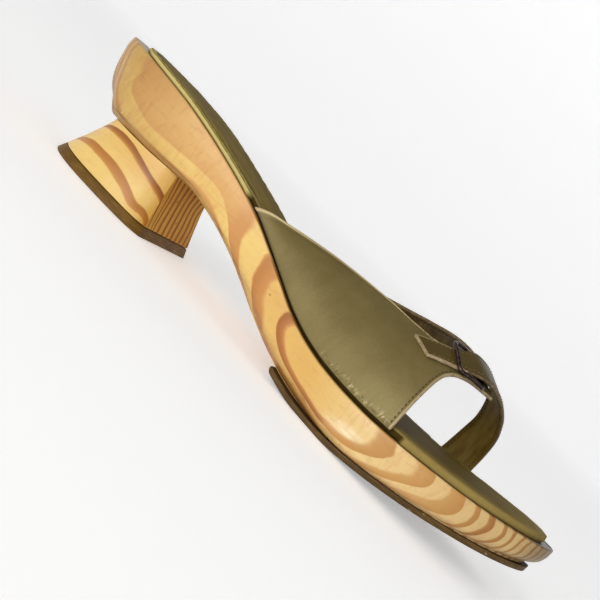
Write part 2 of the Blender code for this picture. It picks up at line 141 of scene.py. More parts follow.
# rear edge x, angle, lift; front edge x, angle, lift
FRONT_STRAP = [
    (192.5, 2.0, 0.0, 207.3, 2.0, 0.0), (193.5, 22.0, 0.0, 207.3, 22.0, 0.0),
    (194.4, 42.0, 0.0, 207.0, 42.0, 0.0), (193.8, 58.0, 0.3, 206.0, 58.0, 0.0),
    (191.6, 72.0, 1.9, 204.2, 74.0, 0.5), (188.4, 83.5, 2.9, 200.6, 88.0, 1.7),
    (185.4, 93.5, 3.3, 197.0, 100.0, 2.7), (182.7, 102.5, 3.7, 193.0, 110.5, 3.7),
    (180.5, 109.5, 2.8, 189.0, 118.0, 2.8), (178.0, 115.5, 1.8, 184.6, 124.5, 1.8),
    (172.5, 122.5, 1.75, 180.6, 129.6, 1.75), (166.8, 129.5, 1.75, 176.0, 134.5, 1.75),
]
# upper edge x, angle, lift; lower edge x, angle, lift
REAR_STRAP = [
    (102.5, 3.0, 0.0, 118.5, 3.0, 0.0), (110.0, 22.0, 0.0, 126.0, 16.0, 0.0),
    (122.0, 41.0, 0.0, 136.0, 30.0, 0.0), (136.0, 55.0, 0.0, 147.5, 43.0, 0.0),
    (150.0, 67.5, 0.2, 159.5, 54.0, 0.0), (163.0, 78.5, 0.8, 172.5, 63.5, 0.2),
    (174.0, 87.0, 1.75, 184.0, 70.0, 1.0), (183.0, 93.0, 1.9, 194.0, 76.0, 1.6),
]
# x, angle, lift of the buckle's corners, in order round the wire
BUCKLE = [
    (176.6, 113.6, 4.35), (186.0, 127.0, 4.35), (194.6, 112.6, 2.55), (181.3, 100.6, 2.55),
]
print("straps", round(FRONT_STRAP[0][3] - FRONT_STRAP[0][0], 1), "mm wide on the wood")

# %% [markdown]
# ## Fair curves from short tables
# Two kinds of curve do all the work. A profile against x must never overshoot its rows, so it
# is a monotone cubic. An outline in the plane must have no flat spots at its rows, so it is a
# cubic spline by chord length, with one small linear system for its tangents.

# %% Profile curves
def ease(value, low, high):
    """0 below low, 1 above high, and a soft step between."""
    t = np.clip((np.asarray(value, float) - low) / (high - low), 0, 1)
    return t * t * (3 - 2 * t)


def cubic(t, step, start, stop, leave, arrive):
    """A cubic from start to stop that leaves and arrives with the given slopes."""
    return ((2 * t**3 - 3 * t**2 + 1) * start + (t**3 - 2 * t**2 + t) * step * leave
            + (3 * t**2 - 2 * t**3) * stop + (t**3 - t**2) * step * arrive)


def profile(rows, column):
    """A smooth curve through one column of a table against its first, with no overshoot."""
    x = np.array([r[0] for r in rows], float)
    y = np.array([r[column] for r in rows], float)
    steps, rise = np.diff(x), np.diff(y) / np.diff(x)
    slope = np.empty_like(y)
    slope[0], slope[-1] = rise[0], rise[-1]
    for i in range(1, len(x) - 1):
        a, b = 2 * steps[i] + steps[i - 1], steps[i] + 2 * steps[i - 1]
        slope[i] = 0.0 if rise[i - 1] * rise[i] <= 0 else (a + b) / (a / rise[i - 1] + b / rise[i])

    def at(where):
        where = np.clip(np.asarray(where, float), x[0], x[-1])
        i = np.clip(np.searchsorted(x, where) - 1, 0, len(x) - 2)
        t = (where - x[i]) / steps[i]
        return cubic(t, steps[i], y[i], y[i + 1], slope[i], slope[i + 1])
    return at


# %% Outline curves
def travelled(points):
    """The length along a row of points, from 0 at the first."""
    return np.r_[0, np.cumsum(np.linalg.norm(np.diff(points, axis=0), axis=1))]


def outline(points, count, closed):
    """A cubic spline through the points, sampled evenly along its length."""
    p = np.array(points, float)
    p = np.vstack([p, p[:1]]) if closed else p
    s = np.r_[0, np.cumsum(np.linalg.norm(np.diff(p, axis=0), axis=1) ** 0.5)]
    n, h, d = len(p), np.diff(s), np.diff(p, axis=0) / np.diff(s)[:, None]
    a, b = np.zeros((n, n)), np.zeros(p.shape)
    for i in range(1, n - 1):
        a[i, i - 1:i + 2] = h[i], 2 * (h[i - 1] + h[i]), h[i - 1]
        b[i] = 3 * (h[i] * d[i - 1] + h[i - 1] * d[i])
    if closed:
        a[0, 0], a[0, -1] = 1, -1
        a[-1, 0], a[-1, 1], a[-1, -1], a[-1, -2] = 2 * h[-1], h[-1], 2 * h[0], h[0]
        b[-1] = 3 * (h[-1] * d[0] + h[0] * d[-1])
    else:
        a[0, :2], b[0] = (2, 1), 3 * d[0]
        a[-1, -2:], b[-1] = (1, 2), 3 * d[-1]
    slope = np.linalg.solve(a, b)
    fine = np.linspace(0, s[-1], 6000)
    i = np.clip(np.searchsorted(s, fine) - 1, 0, n - 2)
    t, step = ((fine - s[i]) / h[i])[:, None], h[i][:, None]
    curve = cubic(t, step, p[i], p[i + 1], slope[i], slope[i + 1])
    length = travelled(curve)
    stops = np.linspace(0, length[-1], count + 1 if closed else count)
    stops = stops[:-1] if closed else stops
    return np.c_[np.interp(stops, length, curve[:, 0]), np.interp(stops, length, curve[:, 1])]


# %% The sole's plan
wood_top, wood_under, ridge = profile(HEIGHTS, 1), profile(HEIGHTS, 2), profile(RIDGE, 1)
wall_inset = [profile(WALL, column) for column in (1, 2, 3)]


def plan_loop(count):
    """The plan and its outward direction, from the heel's back round by the outer side."""
    turn = outline(PLAN, 6000, True)
    toe, half, picks = int(np.argmax(turn[:, 0])), count // 2, []
    for part in (turn[:toe + 1], np.vstack([turn[toe:], turn[:1]])):
        run = travelled(part)
        stops = np.linspace(0, run[-1], half + 1)[:-1]
        picks.append(np.c_[np.interp(stops, run, part[:, 0]), np.interp(stops, run, part[:, 1])])
    loop = np.vstack(picks)
    along = np.roll(loop, -1, axis=0) - np.roll(loop, 1, axis=0)
    along /= np.linalg.norm(along, axis=1)[:, None]
    return loop, np.c_[along[:, 1], -along[:, 0]]


def ends(out):
    """How much a point of the edge faces the heel's back, and how much the toe."""
    return ease(-out[:, 0], 0.0, 0.72), ease(out[:, 0], 0.45, 0.95)


def half_width(side):
    """The sole's half width against x, on the outer side (-1) or the inner side (1)."""
    turn = outline(PLAN, 1200, True)
    part = turn[turn[:, 1] * side > 2.0]
    part = part[np.argsort(part[:, 0])]
    return lambda x: np.interp(x, part[:, 0], np.abs(part[:, 1]))


outer_half, inner_half = half_width(-1), half_width(1)
print("ball width", round(float(outer_half(185) + inner_half(185)), 1), "mm")

# %% [markdown]
# ## From points to a mesh
# Grids of points are the plainest way to a smooth organic surface: the rows follow the real
# part's own lines, and nothing depends on a modifier. One helper makes the object, sets its
# smooth shading and sharp edges, and stores numbers per point, such as which growth ring the
# wood shows there, for the finishes to read.

# %% One helper makes every mesh
def make(name, points, faces, finishes, sharp, slots=None, numbers=None, node=None):
    """A piece from points in mm; edges sharper than so many degrees stay sharp."""
    mesh = bpy.data.meshes.new(name)
    mesh.from_pydata(((np.asarray(points, float) - SHIFT) * MM).tolist(), [], faces)
    mesh.validate()
    for finish in finishes if isinstance(finishes, (list, tuple)) else [finishes]:
        mesh.materials.append(finish)
    if slots is not None:
        mesh.polygons.foreach_set("material_index", np.asarray(slots, np.int32))
    for key, values in (numbers or {}).items():
        layer = mesh.attributes.new(key, "FLOAT", "POINT")
        layer.data.foreach_set("value", np.asarray(values, np.float32))
    mesh.shade_smooth()
    mesh.set_sharp_from_angle(angle=math.radians(sharp))
    obj = bpy.data.objects.new(name, mesh)
    bpy.context.scene.collection.objects.link(obj)
    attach(obj, "root")
    if node:
        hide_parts(*node)
    print(name, "points", len(points), "faces", len(faces))
    return obj


def tube_faces(rings, count):
    """Quads between closed rings of points that follow each other."""
    r, i = np.meshgrid(np.arange(rings - 1), np.arange(count), indexing="ij")
    j = (i + 1) % count
    quads = np.stack([r * count + i, r * count + j, (r + 1) * count + j, (r + 1) * count + i], -1)
    return quads.reshape(-1, 4).tolist()


# %% Irregular waves, the same at every run
def waves(a, b, seed, octaves=4, rough=0.55):
    """Smooth irregular values about 0 from sums of turned sine waves."""
    rng = np.random.default_rng(seed)
    total, size, weight = 0.0, 1.0, 0.0
    for _ in range(octaves):
        for _ in range(3):
            turn, start = rng.uniform(0, 2 * np.pi, 2)
            warp = 0.8 * np.sin(a * math.sin(turn) * 0.7 + b * 0.6 + start * 2)
            total = total + size * np.sin(a * math.cos(turn) + b * math.sin(turn) + warp + start)
            weight += size
        a, b, size = a * 1.93, b * 1.93, size * rough
    return total / weight * 2.2


# %% [markdown]
# ## Writing finishes as sums
# A finish is a small calculation on the surface. Written as nodes it is hard to read, so a
# wrapped socket carries Python's own operators: `grain * 0.3 + 1` adds its Math nodes. Colours
# and directions go through nodes made for them, because Math turns a colour grey.

# %% A socket that can be added and multiplied
class Value:
    """A node's output: plain arithmetic on it adds Math nodes."""

    def __init__(self, finish, socket):
        self.finish, self.socket = finish, socket

    def sum(self, operation, other, swap=False):
        inputs = [other, self] if swap else [self, other]
        return self.finish.add("ShaderNodeMath", {"operation": operation}, inputs)

    def __add__(self, other):
        return self.sum("ADD", other)

    def __radd__(self, other):
        return self.sum("ADD", other)

    def __sub__(self, other):
        return self.sum("SUBTRACT", other)

    def __rsub__(self, other):
        return self.sum("SUBTRACT", other, swap=True)

    def __mul__(self, other):
        return self.sum("MULTIPLY", other)

    def __rmul__(self, other):
        return self.sum("MULTIPLY", other)

    def __truediv__(self, other):
        return self.sum("DIVIDE", other)

    def __rtruediv__(self, other):
        return self.sum("DIVIDE", other, swap=True)

    def higher(self, other):
        return self.sum("MAXIMUM", other)

    def step(self, start, stop):
        """0 at start, 1 at stop, smooth between; start may be the larger."""
        return self.finish.add("ShaderNodeMapRange", {"interpolation_type": "SMOOTHSTEP"},
                               {"Value": self, "From Min": start, "From Max": stop,
                                "To Min": 0.0, "To Max": 1.0})


# %% A finish and its nodes
def linear(red, green, blue):
    """A colour read off a screen, 0 to 255, as the linear light that shaders use."""
    return tuple((c / 12.92 if c <= 0.04045 else ((c + 0.055) / 1.055) ** 2.4)
                 for c in (red / 255, green / 255, blue / 255)) + (1.0,)


class Finish:
    """A material, with one method for any node and a few for the nodes used most."""

    def __init__(self, name, roughness=0.5, metallic=0.0, **fixed):
        self.material = bpy.data.materials.new(name)
        self.material.use_nodes = True
        self.nodes = self.material.node_tree.nodes
        self.links = self.material.node_tree.links
        self.shader = self.nodes["Principled BSDF"]
        for key, value in {"Roughness": roughness, "Metallic": metallic, **fixed}.items():
            self.shader.inputs[key.replace("_", " ")].default_value = value

    def put(self, socket, value):
        if isinstance(value, Value):
            self.links.new(value.socket, socket)
        else:
            socket.default_value = value

    def add(self, kind, settings=None, inputs=(), output=0):
        node = self.nodes.new(kind)
        for key, value in (settings or {}).items():
            if key == "stops":
                ramp = node.color_ramp
                while len(ramp.elements) < len(value):
                    ramp.elements.new(0.5)
                for element, (place, colour) in zip(ramp.elements, value):
                    element.position = place
                    element.color = colour if isinstance(colour, tuple) else (colour,) * 3 + (1,)
            else:
                setattr(node, key, value)
        pairs = inputs.items() if isinstance(inputs, dict) else enumerate(inputs)
        for key, value in pairs:
            self.put(node.inputs[key], value)
        return Value(self, node.outputs[output])

    def place(self, x=1.0, y=1.0, z=1.0):
        """Where a point is on the piece, in metres, stretched along each axis."""
        where = self.add("ShaderNodeTexCoord", output="Object")
        return self.add("ShaderNodeVectorMath", {"operation": "MULTIPLY"}, [where, (x, y, z)])

    def number(self, name):
        """A number stored per point of the mesh."""
        return self.add("ShaderNodeAttribute", {"attribute_name": name}, output="Fac")

    def facing(self, axis):
        """How far the surface faces along an axis of the shoe: 1 along it, -1 against it."""
        normal = self.add("ShaderNodeTexCoord", output="Normal")
        return self.add("ShaderNodeSeparateXYZ", {}, [normal], output=axis)

    def noise(self, where, scale, detail=3.0, rough=0.55, warp=0.0):
        return self.add("ShaderNodeTexNoise", {}, {
            "Vector": where, "Scale": scale, "Detail": detail, "Roughness": rough,
            "Distortion": warp})

    def cells(self, where, scale, feature="F1"):
        return self.add("ShaderNodeTexVoronoi", {"feature": feature},
                        {"Vector": where, "Scale": scale}, output="Distance")

    def tint(self, factor, first, second, blend="MIX"):
        return self.add("ShaderNodeMix", {"data_type": "RGBA", "blend_type": blend},
                        {0: factor, 6: first, 7: second}, output=2)

    def ramp(self, factor, stops):
        return self.add("ShaderNodeValToRGB", {"stops": stops}, [factor])

    def bump(self, height, strength, distance):
        shape = self.add("ShaderNodeBump", {}, {
            "Height": height, "Strength": strength, "Distance": distance})
        self.put(self.shader.inputs["Normal"], shape)

    def colour(self, value):
        self.put(self.shader.inputs["Base Color"], value)

    def rough(self, value):
        self.put(self.shader.inputs["Roughness"], value)


# %% [markdown]
# ## The wood's figure
# The bold arcs on the sole are growth rings: nearly flat sheets that stand on edge along the
# shoe, cut at a slant wherever the carved wall curves. Painting stripes would not wrap round
# the toe. Instead the sheets are made as sheets. A ring is named by its distance from the
# shoe's middle in mm. Each row below says where a ring meets the wall, and a smooth field
# through all the rows then gives the ring at any point of the wood.

# %% Where rings meet the outer wall
# ring: rows of x, y, z
SOLE_RINGS = {
    -31.0: [(14.0, -25.6, 46.0), (23.2, -27.6, 45.1), (22.6, -27.2, 39.6), (25.9, -27.7, 36.0),
            (33.5, -28.9, 33.4), (47.7, -29.5, 32.4), (60.5, -28.9, 33.2), (73.0, -27.9, 34.0),
            (81.5, -27.2, 32.8), (85.8, -26.9, 30.7), (92.4, -26.4, 25.9), (99.1, -24.9, 20.3)],
    -32.7: [(40.0, -29.6, 41.0), (60.0, -28.8, 40.0), (80.0, -27.6, 36.5), (91.0, -26.9, 32.5)],
    -34.0: [(97.6, -26.7, 35.8), (97.8, -27.1, 31.5), (98.4, -27.0, 27.1), (100.6, -26.6, 23.1),
            (104.2, -25.3, 18.9)],
    -36.0: [(111.6, -28.3, 30.3), (111.4, -28.5, 25.7), (111.2, -28.0, 21.3),
            (113.3, -27.7, 17.9), (116.2, -27.0, 14.7), (119.5, -25.9, 12.1)],
    -37.5: [(118.5, -29.5, 26.8), (117.2, -29.4, 23.7), (118.1, -29.3, 19.8),
            (119.1, -29.0, 17.2), (122.1, -28.8, 14.0)],
    -39.2: [(130.6, -31.5, 21.8), (130.1, -31.5, 19.2), (131.2, -31.5, 15.8),
            (132.9, -31.5, 13.4), (136.8, -31.8, 10.3), (142.1, -32.4, 7.9), (148.8, -33.4, 6.2),
            (155.8, -34.6, 4.8), (162.8, -36.0, 4.3), (169.4, -37.4, 4.6), (176.8, -38.7, 5.6),
            (186.0, -39.2, 9.0), (192.3, -39.1, 16.2)],
    -41.0: [(136.4, -32.6, 19.8), (135.0, -32.4, 17.3), (138.1, -32.7, 14.0),
            (141.6, -33.0, 11.4), (146.7, -33.7, 9.3), (153.8, -35.0, 7.9), (165.8, -37.3, 6.2),
            (177.2, -39.5, 7.8), (183.5, -39.9, 12.3), (183.5, -39.9, 15.2)],
    -38.3: [(130.0, -28.6, 9.0), (137.0, -29.4, 6.2), (144.0, -31.0, 4.3), (151.0, -32.3, 3.0),
            (158.0, -33.8, 2.4), (166.0, -35.3, 2.2), (174.0, -36.2, 2.7)],
    -36.8: [(204.2, -36.5, 19.8), (203.5, -36.9, 13.4), (196.5, -38.0, 9.0), (192.5, -38.3, 7.2)],
    -33.0: [(216.2, -32.2, 20.7), (214.8, -32.9, 14.7), (210.6, -34.1, 11.5), (204.8, -35.5, 9.0)],
    -27.8: [(224.4, -27.9, 22.7), (225.7, -27.4, 19.5), (225.2, -27.5, 16.1), (222.8, -27.9, 12.7)],
    -24.3: [(229.9, -24.5, 23.7), (231.0, -24.0, 21.3), (230.1, -24.3, 17.6), (227.3, -24.9, 13.5)],
    -21.2: [(234.3, -21.3, 24.6), (235.4, -20.7, 21.7), (234.2, -21.2, 17.6)],
    -18.6: [(237.6, -18.7, 25.0), (238.4, -18.3, 22.4), (237.3, -18.3, 17.7)],
    -15.9: [(239.7, -14.8, 25.9), (240.6, -16.1, 23.4), (240.1, -16.0, 19.2)],
    -12.6: [(242.9, -13.0, 23.8), (244.5, -11.5, 22.0)],
}
HEEL_RINGS = {
    -28.0: [(22.9, -18.6, 16.7), (38.3, -26.8, 20.2), (47.1, -27.5, 19.2), (55.9, -27.1, 17.4),
            (61.2, -25.8, 15.2)],
    -26.4: [(27.3, -22.1, 20.8), (44.6, -26.7, 22.2), (56.4, -26.6, 19.3), (62.7, -23.8, 17.3)],
    -32.6: [(18.3, -19.6, 5.5), (28.9, -27.7, 9.8), (38.5, -29.9, 10.3), (47.8, -30.4, 8.7),
            (54.6, -30.1, 7.6), (60.4, -29.3, 5.8)],
    -31.0: [(24.0, -23.9, 10.5), (35.7, -28.5, 13.2), (45.2, -29.2, 12.9), (54.8, -29.2, 10.6),
            (62.1, -27.7, 7.8)],
}


# %% More rows: the inner wall, the middle and the breast of the heel
# On the inner side the same sheets leave the wood again, further forward and closer together.
SOLE_RINGS[35.6] = [(162.0, 37.6, 16.0), (164.0, 38.0, 12.5), (169.0, 38.8, 8.5), (178.0, 39.6, 6.5),
                    (190.0, 39.9, 8.0), (203.0, 39.3, 11.5), (213.0, 38.2, 15.0), (219.0, 37.2, 20.0)]
SOLE_RINGS[32.4] = [(156.0, 36.2, 16.8), (157.0, 36.4, 12.0), (160.5, 37.0, 7.5), (168.0, 37.8, 4.6),
                    (231.0, 33.4, 22.5), (229.0, 34.0, 16.5), (222.0, 35.4, 12.0),
                    (49.0, 26.6, 45.5), (45.0, 27.3, 41.0), (37.0, 28.0, 36.5), (26.0, 28.3, 33.0)]
SOLE_RINGS[28.0] = [(145.0, 33.2, 17.5), (145.5, 33.3, 12.0), (149.0, 34.0, 7.0), (58.0, 24.2, 43.0),
                    (55.0, 25.0, 36.0), (237.5, 29.3, 21.5)]
SOLE_RINGS[25.6] = [(138.0, 31.6, 19.5), (138.2, 31.5, 13.0), (142.0, 32.0, 8.0), (64.0, 22.8, 41.5)]
SOLE_RINGS[22.3] = [(127.6, 29.0, 22.0), (127.0, 28.7, 16.0), (130.0, 29.0, 10.5), (72.0, 21.6, 38.0)]
SOLE_RINGS[20.3] = [(123.0, 28.0, 24.5), (122.0, 27.6, 18.0), (79.0, 21.3, 36.0)]
SOLE_RINGS[16.5] = [(112.0, 25.3, 29.0), (108.0, 24.4, 22.0), (88.0, 21.6, 34.0)]
SOLE_RINGS[13.0] = [(100.0, 23.2, 33.0), (97.0, 22.7, 26.0)]
SOLE_RINGS[34.6] = [(10.0, 22.8, 45.0), (30.0, 28.4, 44.0), (20.0, 27.6, 38.0)]
# through the middle of the sole the sheets lean sideways: x, by how much
for middle, warped in ((15, -3.0), (45, -2.5), (75, -4.5), (105, -7.5), (135, -7.5), (160, -5.0),
                       (183, -1.5), (205, -0.5), (225, 0.0), (244, 0.5)):
    height = float((wood_top(middle) + wood_under(middle)) / 2)
    for across in (-12.0, 12.0) if middle < 240 else (0.0,):
        SOLE_RINGS.setdefault(across + warped, []).append((middle, across, height))
HEEL_RINGS[30.0] = [(20.0, 21.0, 6.5), (28.0, 26.0, 10.5), (38.0, 27.5, 11.0), (48.0, 26.3, 9.5),
                    (57.0, 23.8, 7.0)]
HEEL_RINGS[28.6] = [(26.0, 23.5, 12.0), (36.0, 26.5, 14.0), (46.0, 25.8, 13.5), (56.0, 22.5, 11.5)]
HEEL_RINGS[25.6] = [(24.0, 18.0, 17.5), (37.0, 25.3, 20.5), (48.0, 23.8, 19.2), (57.0, 19.5, 16.5)]
for ring, row in ((-24.5, (62.6, -22.9, 21.0)), (-27.2, (63.6, -23.2, 17.0)), (-28.4, (64.5, -23.4, 13.5)),
                  (-29.6, (65.4, -23.6, 10.0)), (-31.6, (66.5, -24.0, 6.0))):
    HEEL_RINGS.setdefault(ring, []).append(row)
for high in (5.0, 12.0, 20.0):
    for across in (-18.0, -9.0, 0.0, 9.0, 16.0):
        HEEL_RINGS.setdefault(across, []).append((67.0 - 0.3 * high, across, high))
        HEEL_RINGS.setdefault(across * 0.98, []).append((40.0, across, high))
print("rings of the sole", len(SOLE_RINGS), "and of the heel", len(HEEL_RINGS))

# %% A soft field through the rows
def sheet_field(rings, upright=1.6, soft=0.004):
    """The ring at any point: a plain slope plus bends carried by the rows."""
    rows = np.array([(x, y, upright * z, ring) for ring, at in rings.items() for x, y, z in at])
    where, value, n = rows[:, :3] / 100, rows[:, 3], len(rows)

    def bend(p):
        return np.linalg.norm(p[:, None] - where[None], axis=2) ** 3
    system = np.zeros((n + 4, n + 4))
    system[:n, :n] = bend(where) + soft * 0.01 * np.eye(n)
    system[:n, n:] = np.c_[np.ones(n), where]
    system[n:, :n] = system[:n, n:].T
    weight = np.linalg.solve(system, np.r_[value, np.zeros(4)])

    def ring(points):
        p = np.asarray(points, float) * (0.01, 0.01, 0.01 * upright)
        return np.concatenate([bend(q) @ weight[:n] + np.c_[np.ones(len(q)), q] @ weight[n:]
                               for q in np.array_split(p, max(1, len(p) // 8000))])
    worst = np.abs(ring(rows[:, :3] / (1, 1, upright)) - value).max()
    print("sheets through", n, "rows, worst", round(float(worst), 2), "mm")
    return ring


sole_ring_at, heel_ring_at = sheet_field(SOLE_RINGS), sheet_field(HEEL_RINGS)

# %% [markdown]
# ## The finish of the wood
# Softwood is pale where it grew in spring and orange-brown where it grew in late summer. Each
# dark band comes on slowly and stops sharply at the winter, so its profile is a ramp with one
# steep side. The bands are listed with the ring where they start and stop and how dark they
# are. Fine fibres run along the shoe. A varnish coat lies over all but the sawn front of the
# heel. The sole is streaked darker underneath; on its top painted shadow runs along the
# insole's edge and painted shade lies on the ledges and the toe end, its heel end is darker,
# and a painted glint sits low on its outer wall.

# %% The dark bands
# start, stop, darkness
SOLE_BANDS = [
    (-41.0, -39.2, 0.72), (-37.9, -35.9, 0.60), (-34.2, -31.0, 0.50), (-28.8, -27.4, 0.62),
    (-25.6, -24.0, 0.86), (-22.0, -20.9, 0.74), (-19.3, -18.3, 0.72), (-16.6, -15.7, 0.66),
    (-14.3, -13.5, 0.60), (-12.0, -11.1, 0.66), (-9.6, -8.6, 0.70), (-6.4, -5.3, 0.66),
    (-2.6, -1.6, 0.74), (1.0, 2.2, 0.66), (4.8, 6.0, 0.70), (8.6, 9.8, 0.62),
    (13.0, 16.5, 0.55), (19.4, 20.3, 0.66), (21.5, 22.3, 0.72), (23.0, 23.8, 0.80),
    (24.6, 25.6, 0.95), (27.0, 28.0, 0.72), (32.4, 35.5, 0.55),
]
HEEL_BANDS = [
    (-32.8, -31.0, 0.62), (-28.0, -26.4, 0.78), (-21.8, -20.3, 0.70), (-18.4, -16.8, 0.74),
    (-14.2, -12.2, 0.70), (-9.6, -7.6, 0.76), (-5.0, -3.0, 0.70), (-0.4, 1.8, 0.76),
    (4.4, 6.4, 0.70), (9.0, 10.9, 0.74), (13.6, 15.4, 0.70), (18.2, 20.2, 0.76),
    (24.0, 25.6, 0.66), (28.6, 30.0, 0.60),
]
print("dark bands of the sole", len(SOLE_BANDS), "and of the heel", len(HEEL_BANDS))


def banded(finish, ring, bands):
    """The soft body of the bands and the sharp line where each stops, six bands to a ramp."""
    body, line = None, None
    for at in range(0, len(bands), 6):
        some = bands[at:at + 6]
        low, high = some[0][0] - 1.0, some[-1][1] + 1.0
        stops = [(0.0, (0.0, 0.0, 0.0, 1.0))]
        for start, stop, depth in some:
            soft = min(0.5, (stop - start) * 0.3)
            edge = min(0.55, (stop - start) * 0.4)
            for place, full, sharp in ((start - 0.1, 0.0, 0.0), (start + soft, 0.8, 0.0),
                                       (stop - edge, 0.95, 0.0), (stop - 0.08, 1.0, 1.0),
                                       (stop + 0.1, 0.0, 0.0)):
                stops.append(((place - low) / (high - low), (full * depth, sharp * depth, 0.0, 1.0)))
        part = finish.ramp((ring - low) / (high - low), stops)
        tone = finish.add("ShaderNodeSeparateColor", {}, [part])
        mark = Value(finish, tone.socket.node.outputs[1])
        body = tone if body is None else body.higher(tone)
        line = mark if line is None else line.higher(mark)
    return body, line


# %% Nail holes in the underside, where the last was held
NAILS = [tuple((np.array([x, y, float(wood_under(x))]) - SHIFT) * MM)
         for x, y in ((98.0, 11.0), (112.0, 14.0), (134.0, 2.0))]

print("nail holes", len(NAILS))


# %% Spring wood and late wood
def grown_wood(finish, dark, cloud, streak, heel):
    """The two woods of a ring; the front half of the sole is washed paler."""
    spring = finish.tint(cloud.step(0.35, 0.68), linear(222, 189, 113), linear(209, 166, 90))
    spring = finish.tint(streak.step(0.45, 0.75) * 0.4, spring, linear(206, 158, 92))
    late = finish.ramp(dark, [(0.0, linear(206, 154, 94)), (0.5, linear(188, 130, 70)),
                              (0.68, linear(164, 104, 50)), (0.86, linear(118, 70, 28)),
                              (1.0, linear(78, 42, 16))])
    dull = finish.tint(1.0, late, linear(244, 240, 205) if heel else linear(240, 248, 232),
                       "MULTIPLY")
    if heel:
        late = dull
    else:
        washed = finish.number("washed")
        spring = finish.tint(washed * 0.5, spring, linear(220, 198, 150))
        late = finish.tint(washed, late, dull)
    return finish.tint(dark.step(0.0, 0.34), spring, late)


# %% What is only on the heel, and only on the sole
def sawn_front(finish, colour):
    """The heel's breast is sawn and bare: more orange, with no varnish, and rougher."""
    end = finish.facing("X").step(0.55, 0.9)
    sawn = finish.tint(1.0, colour, linear(244, 224, 158), "MULTIPLY")
    finish.put(finish.shader.inputs["Coat Weight"], 0.06 - end * 0.06)
    return finish.tint(end, colour, sawn), end * 0.35


def worn_sole(finish, colour, fibre):
    """A darker streaked underside, nail holes, painted shadow and shade on the top, a painted glint,
    darker ends.
    """
    under = finish.facing("Z").step(-0.25, -0.8)
    drag = finish.noise(finish.place(16, 200, 200), 2.2, 4.0, 0.65)
    # darker and streaked where the sole faces down
    darker_below = under * (0.35 + drag.step(0.45, 0.7) * 0.5)
    colour = finish.tint(darker_below, colour, linear(128, 84, 42))
    # painted shadow along the insole's edge, painted shade on the ledges and toe end, and a brown line low
    # on the heel's wall
    colour = finish.tint(finish.number("stain"), colour, linear(70, 46, 18))
    for nail in NAILS:
        away = finish.add("ShaderNodeVectorMath", {"operation": "DISTANCE"},
                          [finish.place(), nail], output="Value")
        colour = finish.tint(away.step(0.0010, 0.0007), colour, linear(40, 26, 12))
    # a painted glint, low on the outer wall at the ball, broken up along the fibres
    rubbed = finish.number("rubbed") * (0.35 + fibre.step(0.4, 0.62) * 0.65)
    colour = finish.tint(rubbed * 0.75, colour, linear(252, 244, 226))
    # painted shade greys the toe end; the heel end is greyed darker as well
    grey = finish.tint(1.0, colour, linear(196, 189, 176), "MULTIPLY")
    return finish.tint(finish.number("handled"), colour, grey)


# %% Varnished wood
def wood_finish(name, bands, heel):
    finish = Finish(name, 0.42, Coat_Weight=0.14, Coat_Roughness=0.22, Specular_IOR_Level=0.28)
    fibre = finish.noise(finish.place(14, 260, 260), 4.0, 5.0, 0.6)
    streak = finish.noise(finish.place(5, 70, 70), 3.0, 3.0)
    wander = finish.noise(finish.place(10, 26, 26), 3.0, 2.0)
    cloud = finish.noise(finish.place(9, 22, 22), 1.6, 2.0)
    cross = finish.noise(finish.place(300, 90, 90), 1.5, 2.0, 0.5, 0.8)
    pores = finish.cells(finish.place(60, 420, 420), 2.4)
    speck = finish.cells(finish.place(70, 110, 110), 1.0)
    scuff = finish.noise(finish.place(90, 200, 200), 1.6, 3.0).step(0.70, 0.78)
    ring = finish.number("ring") + (wander - 0.5) * 0.75 + (fibre - 0.5) * 0.22
    body, line = banded(finish, ring, bands)
    pale = finish.number("pale")
    dark = (body * (1 - pale) * (0.86 + cloud * 0.28)).higher(line * finish.number("crisp"))
    colour = grown_wood(finish, dark, cloud, streak, heel)
    colour = finish.tint((fibre - 0.5).step(0.02, 0.35) * 0.35, colour, linear(150, 100, 52))
    colour = finish.tint(cross.step(0.42, 0.8) * (0.08 + pale * 0.6), colour, linear(190, 128, 80))
    colour = finish.tint(pores.step(0.16, 0.02) * 0.3, colour, linear(140, 90, 45))
    colour = finish.tint(speck.step(0.075, 0.035) * 0.75, colour, linear(96, 58, 28))
    if heel:
        colour, rougher = sawn_front(finish, colour)
    else:
        colour, rougher = worn_sole(finish, colour, fibre), dark * 0.05
    finish.colour(finish.tint(scuff * 0.4, colour, linear(246, 230, 186)))
    finish.rough(0.34 + fibre * 0.12 + rougher)
    finish.bump(fibre * 0.6 + dark * 0.5 + pores.step(0.14, 0.0) * -0.4, 0.16, 0.0004)
    print(name, "nodes", len(finish.nodes))
    return finish.material


sole_wood = wood_finish("varnished sole wood", SOLE_BANDS, False)
heel_wood = wood_finish("varnished heel wood", HEEL_BANDS, True)

# %% [markdown]
# ## The sole
# The sole is one carved piece: a plan outline swept down through the wall's profile, then
# closed over the footbed and underneath. A subdivided box could be sculpted instead, but the
# profile table gives the big rounding under the heel and the crisp top edge exactly. Shadow is
# painted dark on the top where the leather goes down on it, so a thin dark line runs round the
# foot. A ledge of wood shows outside it, widest at the heel and the toe, and there a lighter
# shade is painted.

# %% Where the insole ends on the wood
def seat_of(x, low, high):
    """1 where leather that spans low to high stands on the wood, 0 a few mm beyond it."""
    return ease(x, low - 6.0, low - 4.0) * (1 - ease(x, high + 4.0, high + 6.0))


def insole_inset(flat, out):
    """How far the insole's edge lies inside the sole's plan: more where the upper goes down."""
    x, y = flat.T
    at_heel, at_toe = ends(out)
    outer = seat_of(x, PANEL[0][0], PANEL[0][3]) * (y < 0)
    inner = (seat_of(x, REAR_STRAP[0][0], REAR_STRAP[0][3])
             + seat_of(x, FRONT_STRAP[0][0], FRONT_STRAP[0][3])) * (y > 0)
    base = INSOLE_INSET + INSOLE_HEEL * at_heel + INSOLE_TOE * at_toe
    return np.maximum(base, INSOLE_INSET + (STRAP_SEAT - INSOLE_INSET) * (outer + inner))


